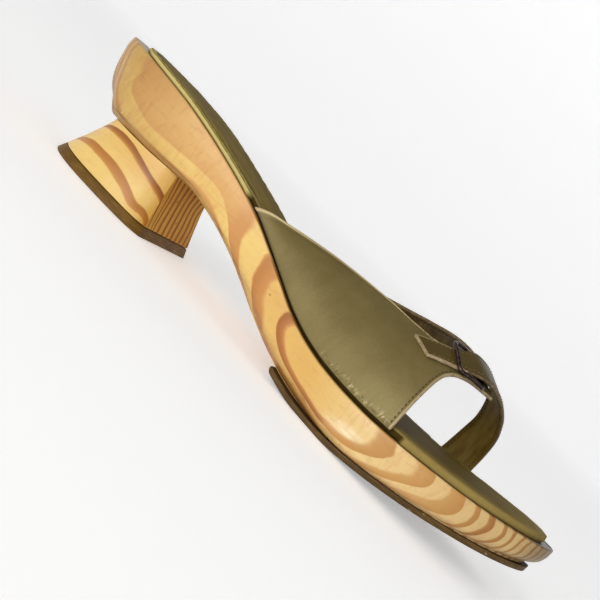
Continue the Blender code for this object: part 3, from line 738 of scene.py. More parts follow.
def from_edge(flat, edge_loop):
    """Distance of points to a closed edge, and how far round it the nearest place is."""
    far, place, run = np.empty(len(flat)), np.empty(len(flat)), travelled(edge_loop)
    for i in range(0, len(flat), 4000):
        squares = ((flat[i:i + 4000, None] - edge_loop[None]) ** 2).sum(-1)
        near = squares.argmin(1)
        far[i:i + 4000], place[i:i + 4000] = np.sqrt(squares[np.arange(len(near)), near]), run[near]
    return far, place


# %% Rows that close a ring
AROUND, ACROSS = 760, 60     # points round the sole's edge and across it


def closing(points, start, loop, height, columns, spread=1.0):
    """Rows from side to side that close a sole-shaped ring at a height given against x."""
    count, half, rows = len(loop), len(loop) // 2, []
    share = 0.5 - 0.5 * np.cos(np.linspace(0, np.pi, columns + 1))
    share = spread * share + (1 - spread) * np.linspace(0, 1, columns + 1)
    for j in range(1, half):
        a, b = loop[j], loop[count - j]
        line = a + (b - a) * share[1:-1, None]
        first = len(points)
        points.extend(np.c_[line, height(line)].tolist())
        rows.append([start + j, *range(first, first + columns - 1), start + count - j])
    faces = [(start, rows[0][k], rows[0][k + 1]) for k in range(columns)]
    faces += [(start + half, rows[-1][k + 1], rows[-1][k]) for k in range(columns)]
    for r0, r1 in zip(rows, rows[1:]):
        faces += [(r0[k], r1[k], r1[k + 1], r0[k + 1]) for k in range(columns)]
    return faces


# %% Rings of the wall, then the two closing faces
rim, out = plan_loop(AROUND)
corner, at_toe = ease(-out[:, 0], -0.03, 0.66), ends(out)[1]
top, under = wood_top(rim[:, 0]), wood_under(rim[:, 0])
sole_points = []
levels = [(0.0, 0.9), (0.0, 0.35), (0.012, 0.1), (0.035, 0.0)]
levels += [(share, 0.0) for share in np.r_[np.linspace(0.08, 0.84, 20), np.linspace(0.87, 1.0, 9)]]
for share, draw in levels:
    side, heel, toe = (inset(share) for inset in wall_inset)
    inset = side + corner * (heel - side) + at_toe * (toe - side) + draw
    flat = rim - out * inset[:, None]
    sole_points.extend(np.c_[flat, top + (under - top) * share].tolist())
wall_points = len(levels) * AROUND
sole_faces = tube_faces(len(levels), AROUND)
first_ring = np.array(sole_points[:AROUND])[:, :2]
last_ring = np.array(sole_points[wall_points - AROUND:])[:, :2]
sole_faces += closing(sole_points, 0, first_ring, lambda p: wood_top(p[:, 0]), ACROSS)
sole_faces += closing(sole_points, wall_points - AROUND, last_ring,
                      lambda p: wood_under(p[:, 0]), ACROSS)
print("sole, rings", len(levels))

# %% Painted shadow where the insole and the upper stand, painted shade on the ledge at heel and toe and on the toe end, and a line low on the heel's wall
at = np.array(sole_points)
x, y, z = at.T
inset = insole_inset(rim, out)
insole_edge = rim - out * inset[:, None]
top_side = np.abs(z - wood_top(x)) < 0.2
share_of = np.zeros(len(at))
share_of[:wall_points] = np.repeat([share for share, _ in levels], AROUND)
to_insole, _ = from_edge(at[top_side][:, :2], insole_edge)
to_rim, place = from_edge(at[top_side][:, :2], rim)
inside = to_rim > np.interp(place, travelled(rim), inset) - 0.1
stain = np.zeros(len(at))
# painted shadow on the wood under and just beside the insole's edge
stain[top_side] = np.where(inside, 1.0, 1 - ease(to_insole, 0.5, 1.2)) * 0.9
# painted shade on the ledge at heel and toe, and on the toe end
ledge = 0.45 * (ease(x, 215, 235) + 1 - ease(x, 4, 20))
stain = np.maximum(stain, ledge * top_side) + 0.5 * ease(x, 240, 250)
# a thin brown line low on the wall at the heel
low_line = ease(share_of, 0.89, 0.915) * (1 - ease(share_of, 0.925, 0.95))
stain += low_line * 0.4 * (1 - ease(x, 100, 125))
print("darkened points", int((stain > 0.1).sum()))

# %% Other numbers of the sole's finish, and the sole
ball = ease(x, 166, 172) * (1 - ease(x, 183, 188)) * (y < 0)
heel = 1 - ease(x, 84, 104)
front = ease(x, 166, 172) * (1 - 0.5 * ease(x, 205, 230)) * (y < 0)
# where the painted glint lies, low on the outer wall at the ball
glint_spot = -((x - 176) / 6) ** 2 - ((z - 9.3 - (x - 176) * 0.22) / 1.6) ** 2
sole_numbers = {
    "ring": sole_ring_at(at),
    "pale": 0.5 * front + 0.55 * heel,
    "crisp": 0.70 - 0.5 * ball - 0.55 * heel,
    # the painted glint
    "rubbed": np.exp(glint_spot) * (y < 0),
    # painted shade at the toe end, and a darker heel end
    "handled": 0.5 * ease(x, 200, 245) + 0.5 * ease(x, 238, 250) + 0.8 * (1 - ease(x, 0, 80)),
    # painted shadow and shade on the top, and the low line at the heel
    "stain": stain,
    "washed": ease(x, 150, 190),
}
make("carved_sole", sole_points, sole_faces, sole_wood, 50, numbers=sole_numbers,
     node=["wood_sole"])

# %% [markdown]
# ## The heel block
# The block is glued under the sole. Its back is a deep D that widens to the floor, its front,
# the breast, is a flat face that leans forward. Its corners are crisp, so the two corners of
# the breast are kept as sharp edges and everything else is shaded smooth.

# %% The heel's section at any height
HEEL_AROUND, BREAST = 380, 70     # points round the D, and across the breast
heel_up, heel_down = outline(HEEL_TOP, HEEL_AROUND, False), outline(HEEL_FLOOR, HEEL_AROUND, False)


def heel_section(height, draw=0.0):
    """The section's x and y at a height, drawn inwards by so many mm."""
    share = (1 - np.clip(height / wood_under(heel_up[:, 0]), 0, 1)) ** 1.15
    flat = heel_up + (heel_down - heel_up) * share[:, None]
    breast = flat[-1] + (flat[0] - flat[-1]) * np.linspace(0, 1, BREAST + 2)[1:-1, None]
    ring = np.vstack([flat, breast])
    middle = ring.mean(axis=0)
    return ring + (middle - ring) * draw / np.linalg.norm(middle - ring, axis=1)[:, None]


# %% A body from sections, closed above and below
def under_sole(x):
    return wood_under(x) - GAP


def heel_body(name, levels, finish, node, numbers=None):
    """Rings at the levels, each a height and a draw; no height means against the sole."""
    rings = []
    for level, draw in levels:
        flat = heel_section(under_sole(heel_up[:, 0]) if level is None else level, draw)
        height = under_sole(flat[:, 0]) if level is None else np.full(len(flat), level)
        rings.append(np.c_[flat, height])
    count, points = len(rings[0]), np.vstack(rings).tolist()
    faces, i = tube_faces(len(rings), count), np.arange(count)
    for at in (0, len(rings) - 1):
        ring, before = rings[at], at * count
        middle = ring.mean(axis=0)
        for shrink in (0.66, 0.33):
            inner = middle + (ring - middle) * shrink
            if levels[at][0] is None:
                inner[:, 2] = under_sole(inner[:, 0])
            start = len(points)
            points.extend(inner.tolist())
            faces += np.stack([before + i, before + (i + 1) % count, start + (i + 1) % count,
                               start + i], -1).tolist()
            before = start
        if levels[at][0] is None:
            middle[2] = under_sole(middle[0])
        points.append(middle.tolist())
        faces += [(start + k, start + (k + 1) % count, len(points) - 1) for k in range(count)]
    given = {key: value(points) for key, value in (numbers or {}).items()}
    return make(name, points, faces, finish, 34, numbers=given, node=node)


levels = [(None, 0.3), (None, 0.0)] + [(height, 0.0) for height in np.linspace(19.0, 4.5, 22)]
levels += [(LIFT_TOP + GAP, 0.25)]
heel_body("heel_wood_block", levels, heel_wood, ["heel_block"],
          {"ring": heel_ring_at, "crisp": lambda points: np.full(len(points), 0.75)})

# %% [markdown]
# ## Rubber under heel and forefoot
# The lift is a slab of brown rubber whose rim is buffed; the forefoot rubber is a thin sheet
# that follows the spring of the toe and is worn flat where it meets the floor. Worn rubber is
# dull and a little cloudy and has a few pale scuffs, and the rubber is coloured darker where it
# faces down.

# %% Brown rubber
def rubber_finish(name, dark, light):
    finish = Finish(name, 0.62, Specular_IOR_Level=0.2)
    grain = finish.noise(finish.place(1, 1, 1), 900.0, 3.0)
    drag = finish.noise(finish.place(40, 40, 320), 6.0, 4.0, 0.6)
    cloud = finish.noise(finish.place(1, 1, 1), 60.0, 2.0)
    colour = finish.tint((drag * 0.6 + cloud * 0.4).step(0.4, 0.7), dark, light)
    scuff = finish.noise(finish.place(160, 160, 420), 1.4, 2.0).step(0.69, 0.75)
    colour = finish.tint(scuff * 0.55, colour, linear(196, 182, 150))
    # the rubber is coloured darker where it faces down
    under = finish.facing("Z").step(-0.6, -0.95)
    colour = finish.tint(under * 0.8, colour, linear(44, 30, 12))
    finish.colour(colour)
    finish.rough(0.5 + grain * 0.18 + scuff * 0.15)
    finish.bump(grain * 0.5 + drag * 0.7, 0.25, 0.0003)
    print(name, "nodes", len(finish.nodes))
    return finish.material


lift_rubber = rubber_finish("buffed lift rubber", linear(94, 66, 18), linear(132, 98, 38))
tread_rubber = rubber_finish("forefoot rubber", linear(72, 52, 22), linear(104, 78, 36))
heel_body("heel_lift_rubber", [(LIFT_TOP, 0.25), (LIFT_TOP - 0.3, 0.0), (2.5, 0.0), (1.2, 0.0),
                               (0.35, 0.0), (0.0, 0.4)],
          lift_rubber, ["heel_lift"])

# %% Stations of the forefoot rubber
fine, turned = plan_loop(2000)
inset = OUTSOLE_INSET + (OUTSOLE_TOE - OUTSOLE_INSET) * ends(turned)[1]
edge = fine - turned * inset[:, None]
half = len(edge) // 2
outer_edge, inner_edge = edge[:half + 1], np.vstack([edge[half:], edge[:1]])[::-1]
stations = np.r_[OUTSOLE_REAR, OUTSOLE_REAR + 0.5, OUTSOLE_REAR + 1.2,
                 np.linspace(OUTSOLE_REAR + 3, 240, 110), np.linspace(240.8, 247.6, 14)]
points, columns = [], 40
for i, x in enumerate(stations):
    a = np.interp(x, outer_edge[:, 0], outer_edge[:, 1])
    b = np.interp(x, inner_edge[:, 0], inner_edge[:, 1])
    thick = OUTSOLE_THICK - (0.8, 0.3, 0.0)[min(i, 2)]
    for level, draw in ((0.0, 0.0), (0.45, -0.25), (0.8, -0.1), (1.0, 0.35)):
        y = a + draw + (b - a - 2 * draw) * np.linspace(0, 1, columns + 1)
        z = max(float(wood_under(x)) - GAP - thick * level, 0.0)
        points.extend(np.c_[np.full(columns + 1, x), y, np.full(columns + 1, z)].tolist())
print("forefoot rubber from", stations[0], "to", stations[-1], "mm")

# %% The sheet between the stations
width, ring, faces = columns + 1, 4 * (columns + 1), []
for i in range(len(stations) - 1):
    o, n = i * ring, (i + 1) * ring
    for k in range(columns):
        faces.append((o + k, n + k, n + k + 1, o + k + 1))
        faces.append((o + 3 * width + k, o + 3 * width + k + 1, n + 3 * width + k + 1,
                      n + 3 * width + k))
    for row in range(3):
        for k, flip in ((0, False), (columns, True)):
            a, b = o + row * width + k, o + (row + 1) * width + k
            faces.append((a, a + ring, b + ring, b) if flip else (a, b, b + ring, a + ring))
for o, flip in ((0, True), ((len(stations) - 1) * ring, False)):
    for row in range(3):
        for k in range(columns):
            a = o + row * width + k
            quad = (a, a + 1, a + width + 1, a + width)
            faces.append(quad[::-1] if flip else quad)
make("forefoot_rubber", points, faces, tread_rubber, 38, node=["forefoot_outsole"])

# %% [markdown]
# ## The padded insole
# A thin leather sock lies on the wood. Its edge is turned under and makes a small roll with
# gathers; inside the roll the leather is pulled down to a crease, and the foam then crowns it
# gently. A painted highlight lays a pale line along the roll's near edge, and painted shade
# darkens the crease, the wrinkles and the forefoot. Its leather and that of the upper are one
# finish with different touches, so the touches come first.

# %% Touches on the leather: gathers with painted highlights and shade, worn edges, painted light and shade on the insole
def gathered(finish, colour, height, rough):
    """Small folds, with painted highlights on their crests and painted shade between, where the mesh says
    gather.
    """
    near = finish.number("gather")
    fold = finish.noise(finish.place(780, 780, 420), 1.0, 3.0, 0.6, 0.6)
    colour = finish.tint(near * fold.step(0.55, 0.68) * 0.7, colour, linear(205, 190, 142))
    colour = finish.tint(near * fold.step(0.46, 0.34) * 0.5, colour, linear(60, 48, 18))
    return colour, height + near * fold * 6.0, rough - near * 0.16


def worn_rim(finish, colour, height, strength):
    """A pale line along the cut edge, a darker one inside it, and the edge rounded over."""
    edge = finish.number("rim")
    colour = finish.tint(edge.step(0.6, 0.35) * strength, colour, linear(188, 168, 126))
    colour = finish.tint(edge.step(0.6, 0.9) * edge.step(1.7, 1.1) * strength * 0.3, colour,
                         linear(70, 58, 26))
    return colour, height - edge.step(1.0, 0.2) * 1.5


def painted_sock_light(finish, colour, cloud):
    """Painted light on the insole: a lit band along the forefoot's edge, painted shade in the forefoot, in
    the wrinkles' troughs and where the panel hides the edge, painted highlights on the wrinkles and on the
    roll behind the upper, painted shade in its crease.
    """
    edge = finish.number("rim")
    behind = finish.number("behind")
    crest = edge.step(0.2, 0.8) * edge.step(2.3, 1.4)
    crease = edge.step(2.4, 3.3) * edge.step(4.6, 3.6)
    for factor, touch in (
            (edge.step(6.0, 1.0) * (1 - behind) * 0.5, linear(156, 136, 86)),
            (finish.number("tread") * 0.6, linear(76, 58, 14)),
            (finish.number("trough") * 0.75, linear(62, 48, 12)),
            (finish.number("bulge") * 0.55, linear(176, 158, 96)),
            (crest * behind * 0.8, linear(208, 190, 122)),
            (crease * behind * (0.35 + cloud * 0.4), linear(60, 46, 14))):
        colour = finish.tint(factor, colour, touch)
    return colour


# %% Leather finishes
def leather_finish(name, lit, shade, metal, roughness, gathers=False, rim=0.0, sock=False,
                   polish=False):
    finish = Finish(name, roughness, metal, Specular_IOR_Level=0.06 if sock else 0.3)
    grain = finish.cells(finish.place(1, 1, 1), 1100.0, "SMOOTH_F1")
    fine = finish.noise(finish.place(1, 1, 1), 2600.0, 2.0)
    cloud = finish.noise(finish.place(1, 1, 1), 26.0, 3.0)
    crease = finish.noise(finish.place(30, 30, 12), 7.0, 4.0, 0.6, 0.6)
    colour = finish.tint((cloud * 0.7 + crease * 0.3).step(0.36, 0.66), shade, lit)
    height = grain * 0.5 + fine * 0.25 + crease * 0.5
    rough = roughness + (cloud - 0.5) * 0.14
    if gathers:
        colour, height, rough = gathered(finish, colour, height, rough)
    if not sock:
        # painted shadow on the leather's foot, next to the wood
        colour = finish.tint(finish.number("foot") * 0.85, colour, linear(46, 32, 12))
    if rim:
        colour, height = worn_rim(finish, colour, height, rim)
    if sock:
        colour = painted_sock_light(finish, colour, cloud)
    if polish:
        rubbed = finish.noise(finish.place(110, 14, 14), 3.0, 3.0, 0.6)
        middle = finish.number("rim").step(3.2, 6.0)
        colour = finish.tint(middle * rubbed.step(0.3, 0.7) * 0.5, colour, linear(160, 138, 72))
    finish.colour(colour)
    finish.rough(rough)
    finish.bump(height, 0.22, 0.0005)
    print(name, "nodes", len(finish.nodes))
    return finish.material


panel_leather = leather_finish("bronze panel leather", linear(124, 110, 66),
                               linear(110, 96, 53), 0.22, 0.48, gathers=True, rim=0.75)
# the panel's leather, partly darkened to paint the shade on the instep
strap_leather = leather_finish("bronze strap leather", linear(104, 88, 40),
                               linear(86, 69, 26), 0.22, 0.46, rim=0.6)
sock_leather = leather_finish("padded sock leather", linear(134, 113, 46),
                              linear(108, 87, 26), 0.02, 0.7, gathers=True, sock=True)
lining_leather = leather_finish("dark lining", linear(122, 98, 34), linear(92, 68, 14), 0.0, 0.65,
                                polish=True)

# %% Cut edges of the leather
def cut_finish(name, deep, worn):
    finish = Finish(name, 0.6)
    nap = finish.noise(finish.place(1, 1, 1), 900.0, 3.0)
    finish.colour(finish.tint(nap.step(0.35, 0.7), deep, worn))
    finish.bump(nap, 0.3, 0.0002)
    print(name, "nodes", len(finish.nodes))
    return finish.material


pale_edge = cut_finish("pale cut edge", linear(140, 116, 84), linear(178, 158, 124))
dark_edge = cut_finish("dyed cut edge", linear(84, 66, 34), linear(118, 98, 62))

# %% The insole's edge, lid and underside
rim, out = plan_loop(AROUND)
base = insole_inset(rim, out)
thick = profile(INSOLE, 1)
points = []
edge_rings = [(0.0, 0.5), (0.1, 0.1), (0.3, 0.0), (0.5, 0.05), (0.68, 0.25)]
for up, more in edge_rings:
    flat = rim - out * (base + more)[:, None]
    foot = wood_top(flat[:, 0]) + (GAP if up else 0.05)
    points.extend(np.c_[flat, foot + up * thick(flat[:, 0])].tolist())
count = len(points)
loop = np.array(points[-AROUND:])[:, :2]
edge_faces = [face[::-1] for face in tube_faces(len(edge_rings), AROUND)]


def glued(p):
    return wood_top(p[:, 0]) + GAP


lid = [face[::-1] for face in closing(points, count - AROUND, loop, glued, 84, 0.9)]
lid_points = np.arange(count, len(points))
underside = closing(points, 0, np.array(points[:AROUND])[:, :2], glued, 6)
points = np.array(points)
print("insole, edge points", count, "lid points", len(lid_points))

# %% Roll, crease and crown across the cushion
from_rim, round_rim = from_edge(points[lid_points, :2], loop)
lid_x = points[lid_points, 0]
roll = 0.68 + 0.30 * np.sqrt(np.clip(1 - (1 - np.clip(from_rim / 1.5, 0, 1)) ** 2, 0, 1))
crease = 0.34 * np.exp(-((from_rim - 3.4) / 0.9) ** 2)
crown = 0.12 * ease(from_rim, 3.5, 12.0)
gather = waves(round_rim * 1.5, from_rim * 0.3, 3, 3) * np.exp(-((from_rim - 2.2) / 2.4) ** 2)
gather *= 1 - 0.8 * ease(lid_x, 140, 180)
points[lid_points, 2] += thick(lid_x) * (roll + crown) - crease + 0.09 * gather
points[lid_points, 2] += 0.10 * waves(lid_x * 0.12, points[lid_points, 1] * 0.12, 8)
print("insole top between", points[lid_points, 2].min().round(1), "and",
      points[lid_points, 2].max().round(1), "mm")

# %% Soft wrinkles beside the roll, on the outer side of the heel
# from x, distance to the edge; to x, distance; depth
WRINKLES = [
    (20, 4.6, 34, 3.8, 0.20), (27, 6.4, 44, 5.0, 0.26), (34, 4.4, 52, 4.0, 0.30),
    (40, 7.6, 60, 5.6, 0.30), (48, 5.6, 66, 4.4, 0.34), (55, 8.2, 74, 5.8, 0.34),
    (62, 4.4, 80, 4.2, 0.30), (68, 7.0, 84, 5.0, 0.34), (74, 9.0, 88, 6.8, 0.26),
    (80, 5.4, 94, 4.4, 0.26),
]
outer_side = points[lid_points, 1] < 0
covered = seat_of(points[:, 0], PANEL[0][0], PANEL[0][3]) * (points[:, 1] < 0)
trough, bulge = np.zeros(len(points)), np.zeros(len(points))
# painted shadow where the panel hides the insole's edge
trough[:count] = covered[:count] * 1.3      # dark where the panel hides the insole's edge
for x0, d0, x1, d1, deep in WRINKLES:
    t = np.clip((lid_x - x0) / (x1 - x0), 0, 1)
    beyond = (lid_x - x0 - t * (x1 - x0)) / 3.0
    off = from_rim - (d0 + (d1 - d0) * t) - 0.25 * np.sin(t * 9 + x0)
    fade = np.sin(np.pi * np.clip(t, 0.04, 0.96)) * np.exp(-beyond ** 2) * outer_side
    low, high = np.exp(-(off / 0.6) ** 2) * fade, np.exp(-((off - 1.25) / 0.7) ** 2) * fade
    points[lid_points, 2] += deep * (0.7 * high - 1.3 * low)
    # painted shade in each wrinkle's trough and a painted highlight on its bulge
    trough[lid_points] = np.maximum(trough[lid_points], low)
    bulge[lid_points] = np.maximum(bulge[lid_points], high)
print("wrinkles", len(WRINKLES))

# %% The insole's numbers, and the insole
tread, edge_far, near_edge = (np.zeros(len(points)) for _ in range(3))
# painted shade inside the forefoot, between the panel and the strap
tread[lid_points] = ease(from_rim, 4.5, 12) * ease(lid_x, 150, 185) * (1 - ease(lid_x, 212, 238))
edge_far[lid_points] = from_rim
edge_far[:count] = 1.0
near_edge[lid_points] = np.exp(-(np.maximum(from_rim - 3.6, 0) / 1.6) ** 2) * 0.7
near_edge[:count] = 0.6
near_edge *= 1 - 0.85 * ease(points[:, 0], 140, 180)
behind = (1 - ease(points[:, 0], 140, 185)) * (1 - covered)
insole_numbers = {"gather": near_edge, "rim": edge_far, "behind": behind, "tread": tread,
                  "trough": trough, "bulge": bulge}
insole = make("padded_insole", points, edge_faces + lid + underside, sock_leather, 60,
              numbers=insole_numbers, node=["insole"])

# %% [markdown]
# ## The last
# Shoemakers stretch the upper over a last, so every piece of it lies on one smooth arch. A
# place on the upper is given by x and by an angle: 0 at the inner edge of the sole, 90 on the
# instep, 180 at the outer edge. Lifting a point off the arch by a few millimetres lets one
# strap pass over another.

# %% Points on the last
def on_last(x, angle):
    """The arch itself: x in mm and the angle in radians."""
    inner = inner_half(x) - UPPER_INSET - RIDGE_Y
    outer = outer_half(x) - UPPER_INSET + RIDGE_Y
    reach = np.where(np.cos(angle) > 0, inner, outer)
    floor = wood_top(x) + GAP + 0.05
    return np.stack([x, RIDGE_Y + reach * np.cos(angle),
                     floor + (ridge(x) - floor) * np.sin(angle)], axis=-1)


def last(x, angle, lift=0.0):
    """Points at x and an angle in degrees, lifted off the arch by so many mm."""
    x, angle = np.asarray(x, float), np.radians(np.asarray(angle, float))
    along = on_last(x + 1.5, angle) - on_last(x - 1.5, angle)
    across = on_last(x, angle + 0.02) - on_last(x, angle - 0.02)
    away = np.cross(along, across)
    away = away / np.linalg.norm(away, axis=-1)[..., None]
    inwards = away[..., 2:] + away[..., 1:2] * np.cos(angle)[..., None] < 0
    away = np.where(inwards, -away, away)
    return on_last(x, angle) + away * np.asarray(lift, float)[..., None]


print("instep at the panel's front", last(186.3, 90.0)[2].round(1), "mm up")

# %% [markdown]
# ## Straps and panel
# Each leather piece is a strip between two edges on the last, with a real thickness: a top
# face, a lining, and between them a cut edge that is slightly rounded. Several finishes on one
# mesh show this better than one colour, because a pale or a dyed cut edge outlines each piece.
# The straps' edges are dyed; only the tab at the front strap's end shows the pale leather.

# %% Where a strip's points go
EDGE_ROUND = 0.45       # how far the cut edge is rounded over


def edge_curves(rows, along):
    """The six columns of a strip's table as smooth curves along it."""
    rows = np.array(rows, float)
    t = np.linspace(0, len(rows) - 1, along)
    index = np.c_[np.arange(len(rows)), rows]
    return [profile([tuple(row) for row in index], column)(t) for column in range(1, 7)]


def strip_at(curves, v, lift):
    """Points across a strip: v runs from its first edge (0) to its second (1)."""
    x, angle, up = (curves[k][:, None] * (1 - v) + curves[k + 3][:, None] * v for k in range(3))
    return last(x, angle, up + lift)


def strip_skins(curves, grid, wide, flared):
    """Lining, three layers of the rounded cut edge, and top; a flared strip lifts at v = 0."""
    inside = np.clip(EDGE_ROUND / wide, 0, 0.2)
    flare = 0.5 * np.exp(-(grid * wide / 1.7) ** 2) if flared else 0.0
    layers = ((0.0, 1.0), (EDGE_ROUND * 0.6, 0.25), (LEATHER / 2, 0.0),
              (LEATHER - EDGE_ROUND * 0.6, 0.25), (LEATHER, 1.0))
    return [strip_at(curves, 0.5 + (grid - 0.5) * (1 - 2 * inside * draw), lift + flare)
            for lift, draw in layers]


# %% Numbers for the leather: distance to its edges, and nearness to the wood
def strip_numbers(points, grid, wide, top, tab):
    along, across = grid.shape
    side_far = np.minimum(grid * (0.33 if tab is None else 1.0), 1 - grid) * wide
    run = travelled(top[:, across // 2])
    rim = np.minimum(side_far, (run[-1] - run)[:, None] + np.zeros_like(grid))
    share = np.linspace(0, 1, along)
    if tab is None:
        rim = rim + 3 * ease(share, 0.84, 0.9)[:, None]
    else:
        rim = rim + 3 * (1 - ease(share, tab - 0.03, tab + 0.03))[:, None]
    cut = np.zeros(len(points) - 2 * rim.size)
    # where the painted shadow at the leather's foot lies
    foot = 1 - ease(points[:, 2] - wood_top(points[:, 0]), 0.5, 2.3)
    return {"rim": np.r_[rim.ravel(), rim.ravel(), cut], "foot": foot}


# %% A strip of leather with rounded cut edges
def leather_piece(name, rows, along, across, finishes, node, gather=None, tab=None):
    """tab: where along it a pale-edged tab begins, beyond 1 for no tab, None on the panel."""
    curves = edge_curves(rows, along)
    grid = np.repeat(np.linspace(0, 1, across)[None], along, axis=0)
    wide = np.linalg.norm(strip_at(curves, np.array([[1.0]]), 0)
                          - strip_at(curves, np.array([[0.0]]), 0), axis=-1)
    skins = [skin.reshape(-1, 3) for skin in strip_skins(curves, grid, wide, tab is None)]
    n = along * across
    i, j = np.meshgrid(np.arange(along - 1), np.arange(across - 1), indexing="ij")
    a = (i * across + j).ravel()
    under = np.stack([a, a + across, a + across + 1, a + 1], -1)
    over = np.stack([n + a, n + a + 1, n + a + across + 1, n + a + across], -1)
    faces, slots = under.tolist() + over.tolist(), [2] * len(under) + [0] * len(over)
    border = np.r_[np.arange(along) * across, (along - 1) * across + np.arange(1, across),
                   (np.arange(along - 1) * across + across - 1)[::-1], np.arange(1, across - 1)[::-1]]
    m, k = len(border), np.arange(len(border))
    points = np.vstack([skins[0], skins[-1], *(skin[border] for skin in skins[1:-1])])
    chain = [border, *(2 * n + layer * m + k for layer in range(3)), n + border]
    kind = np.where(border // across > (tab or 9) * along, 3, 1)
    for lower, upper in zip(chain, chain[1:]):
        quad = np.stack([lower, lower[(k + 1) % m], upper[(k + 1) % m], upper], -1)
        faces += quad[:, ::-1].tolist()
        slots += np.where(border // across < 2, 2, kind).tolist()
    numbers = strip_numbers(points, grid, wide, skins[-1].reshape(along, across, 3), tab)
    if gather is not None:
        numbers["gather"] = gather(points)
    return make(name, points, faces, finishes, 75, slots, numbers, node)


# %% The panel and the two straps
def low_gather(points):
    """Along the front half of the panel's foot, where the leather is gathered."""
    up = points[:, 2] - wood_top(points[:, 0])
    return ease(points[:, 0], 146, 160) * np.exp(-((up - 3.3) / 1.2) ** 2)


leather_piece("side_panel", PANEL, 200, 210, [panel_leather, pale_edge, lining_leather],
              ["vamp_panel"], gather=low_gather)
strap_finishes = [strap_leather, dark_edge, lining_leather, pale_edge]
leather_piece("rear_instep_strap", REAR_STRAP, 200, 44, strap_finishes,
              ["instep_straps"], tab=2.0)
leather_piece("front_instep_strap", FRONT_STRAP, 260, 44, strap_finishes,
              ["instep_straps"], tab=0.76)

# %% [markdown]
# ## Stitches
# Each seam is a row of separate short threads that dip into the leather at both ends, not a
# painted dash, so they stay crisp at the cut edges. They follow a strip at a fixed distance
# from one of its edges.

# %% Thread
def thread_finish(name, deep, worn):
    finish = Finish(name, 0.7)
    twist = finish.noise(finish.place(1, 1, 1), 3000.0, 2.0)
    finish.colour(finish.tint(twist, deep, worn))
    finish.bump(twist, 0.3, 0.0001)
    print(name, "nodes", len(finish.nodes))
    return finish.material


dark_thread = thread_finish("dark waxed thread", linear(40, 28, 10), linear(70, 54, 24))
olive_thread = thread_finish("olive thread", linear(88, 74, 34), linear(120, 104, 58))


# %% Rows of stitches
STITCH, SPACE, THREAD = 1.15, 0.65, 0.2     # length of a stitch, gap to the next, half thickness
SINK = np.array([-0.6, 0.25, 0.45, 0.25, -0.6]) * THREAD      # it dips in at both ends
SWELL = np.array([0.45, 0.95, 1.0, 0.95, 0.45]) * THREAD      # and is thinner there


def thread_row(paths, name, finish):
    """Stitches along paths: each is a list of points with the direction out of the leather."""
    points, faces = [], []
    for path, away in paths:
        run = travelled(path)
        for stitch in range(int((run[-1] - 1.0) / (STITCH + SPACE))):
            stops = 0.6 + stitch * (STITCH + SPACE) + np.linspace(0, STITCH, 5)
            centre = np.stack([np.interp(stops, run, path[:, c]) for c in range(3)], -1)
            up = np.stack([np.interp(stops, run, away[:, c]) for c in range(3)], -1)
            up /= np.linalg.norm(up, axis=1)[:, None]
            ahead = np.gradient(centre, axis=0)
            ahead /= np.linalg.norm(ahead, axis=1)[:, None]
            side = np.cross(ahead, up)
            centre = centre + up * SINK[:, None]
            first = len(points)
            for c, u, s, r in zip(centre, up, side, SWELL):
                for turn in np.arange(6) * np.pi / 3:
                    points.append(c + r * (u * math.cos(turn) + s * math.sin(turn)))
            for ring in range(4):
                for q in range(6):
                    a, b = first + ring * 6 + q, first + ring * 6 + (q + 1) % 6
                    faces.append((a, b, b + 6, a + 6))
            faces.append(tuple(first + q for q in range(6))[::-1])
            faces.append(tuple(first + 24 + q for q in range(6)))
    return make(name, points, faces, finish, 80)


def beside(rows, edge, inset, start, stop, under=False, count=260):
    """A path a little inside one edge of a strip, with the direction out of the leather."""
    curves = edge_curves(rows, count)
    first = strip_at(curves, np.array([[0.0]]), LEATHER)[:, 0]
    second = strip_at(curves, np.array([[1.0]]), LEATHER)[:, 0]
    share = inset / np.linalg.norm(second - first, axis=1)
    v = (share if edge == 0 else 1 - share)[:, None]
    path = strip_at(curves, v, 0.0 if under else LEATHER)[:, 0]
    away = strip_at(curves, v, -1.0 if under else LEATHER + 1.0)[:, 0] - path
    keep = slice(int(start * count), int(stop * count))
    return path[keep], away[keep]


thread_row([beside(PANEL, 1, 1.7, 0.02, 0.84)], "panel_front_stitching", dark_thread)
thread_row([beside(PANEL, 0, 1.8, 0.02, 0.86)], "panel_back_stitching", olive_thread)
for name, rows, stop in (("rear_strap", REAR_STRAP, 0.9), ("front_strap", FRONT_STRAP, 0.985)):
    thread_row([beside(rows, edge, 1.7, 0.02, stop) for edge in (0, 1)], name + "_stitching",
               olive_thread)
    thread_row([beside(rows, edge, 1.7, 0.02, 0.8, under=True) for edge in (0, 1)],
               name + "_lining_stitching", dark_thread)

# %% [markdown]
# ## The buckle
# A small frame of dark plated wire. The tab of the strap comes over its inner bar and goes
# under its outer bar. A bevelled curve would do, but the wire has to bend with the foot, so
# its centre line is laid on the last first and a round section is then swept along it.

# %% Plated wire
metal = Finish("dark plated wire", 0.26, 0.95, Coat_Weight=0.2)
rub = metal.noise(metal.place(1, 1, 1), 700.0, 3.0)
metal.colour(metal.tint(rub.step(0.4, 0.75), linear(48, 36, 32), linear(104, 82, 70)))
metal.rough(0.2 + rub * 0.2)
metal.bump(rub, 0.08, 0.0002)
wire_metal = metal.material
print(wire_metal.name, "nodes", len(metal.nodes))

# %% The frame's centre line, with rounded corners
CORNER, TURNS = 0.16, 20     # share of a side that a corner takes, points round the wire
corners, path = np.array(BUCKLE, float), []
for i in range(4):
    here, before, after = corners[i], corners[i - 1], corners[(i + 1) % 4]
    for t in np.linspace(0, 1, 10):
        a, b = here + (before - here) * CORNER, here + (after - here) * CORNER
        path.append((1 - t) ** 2 * a + 2 * t * (1 - t) * here + t * t * b)
    path += [here + (after - here) * t for t in np.linspace(CORNER, 1 - CORNER, 12)[1:-1]]
path = np.array([last(*p) for p in path])
print("wire", travelled(path)[-1].round(1), "mm long")

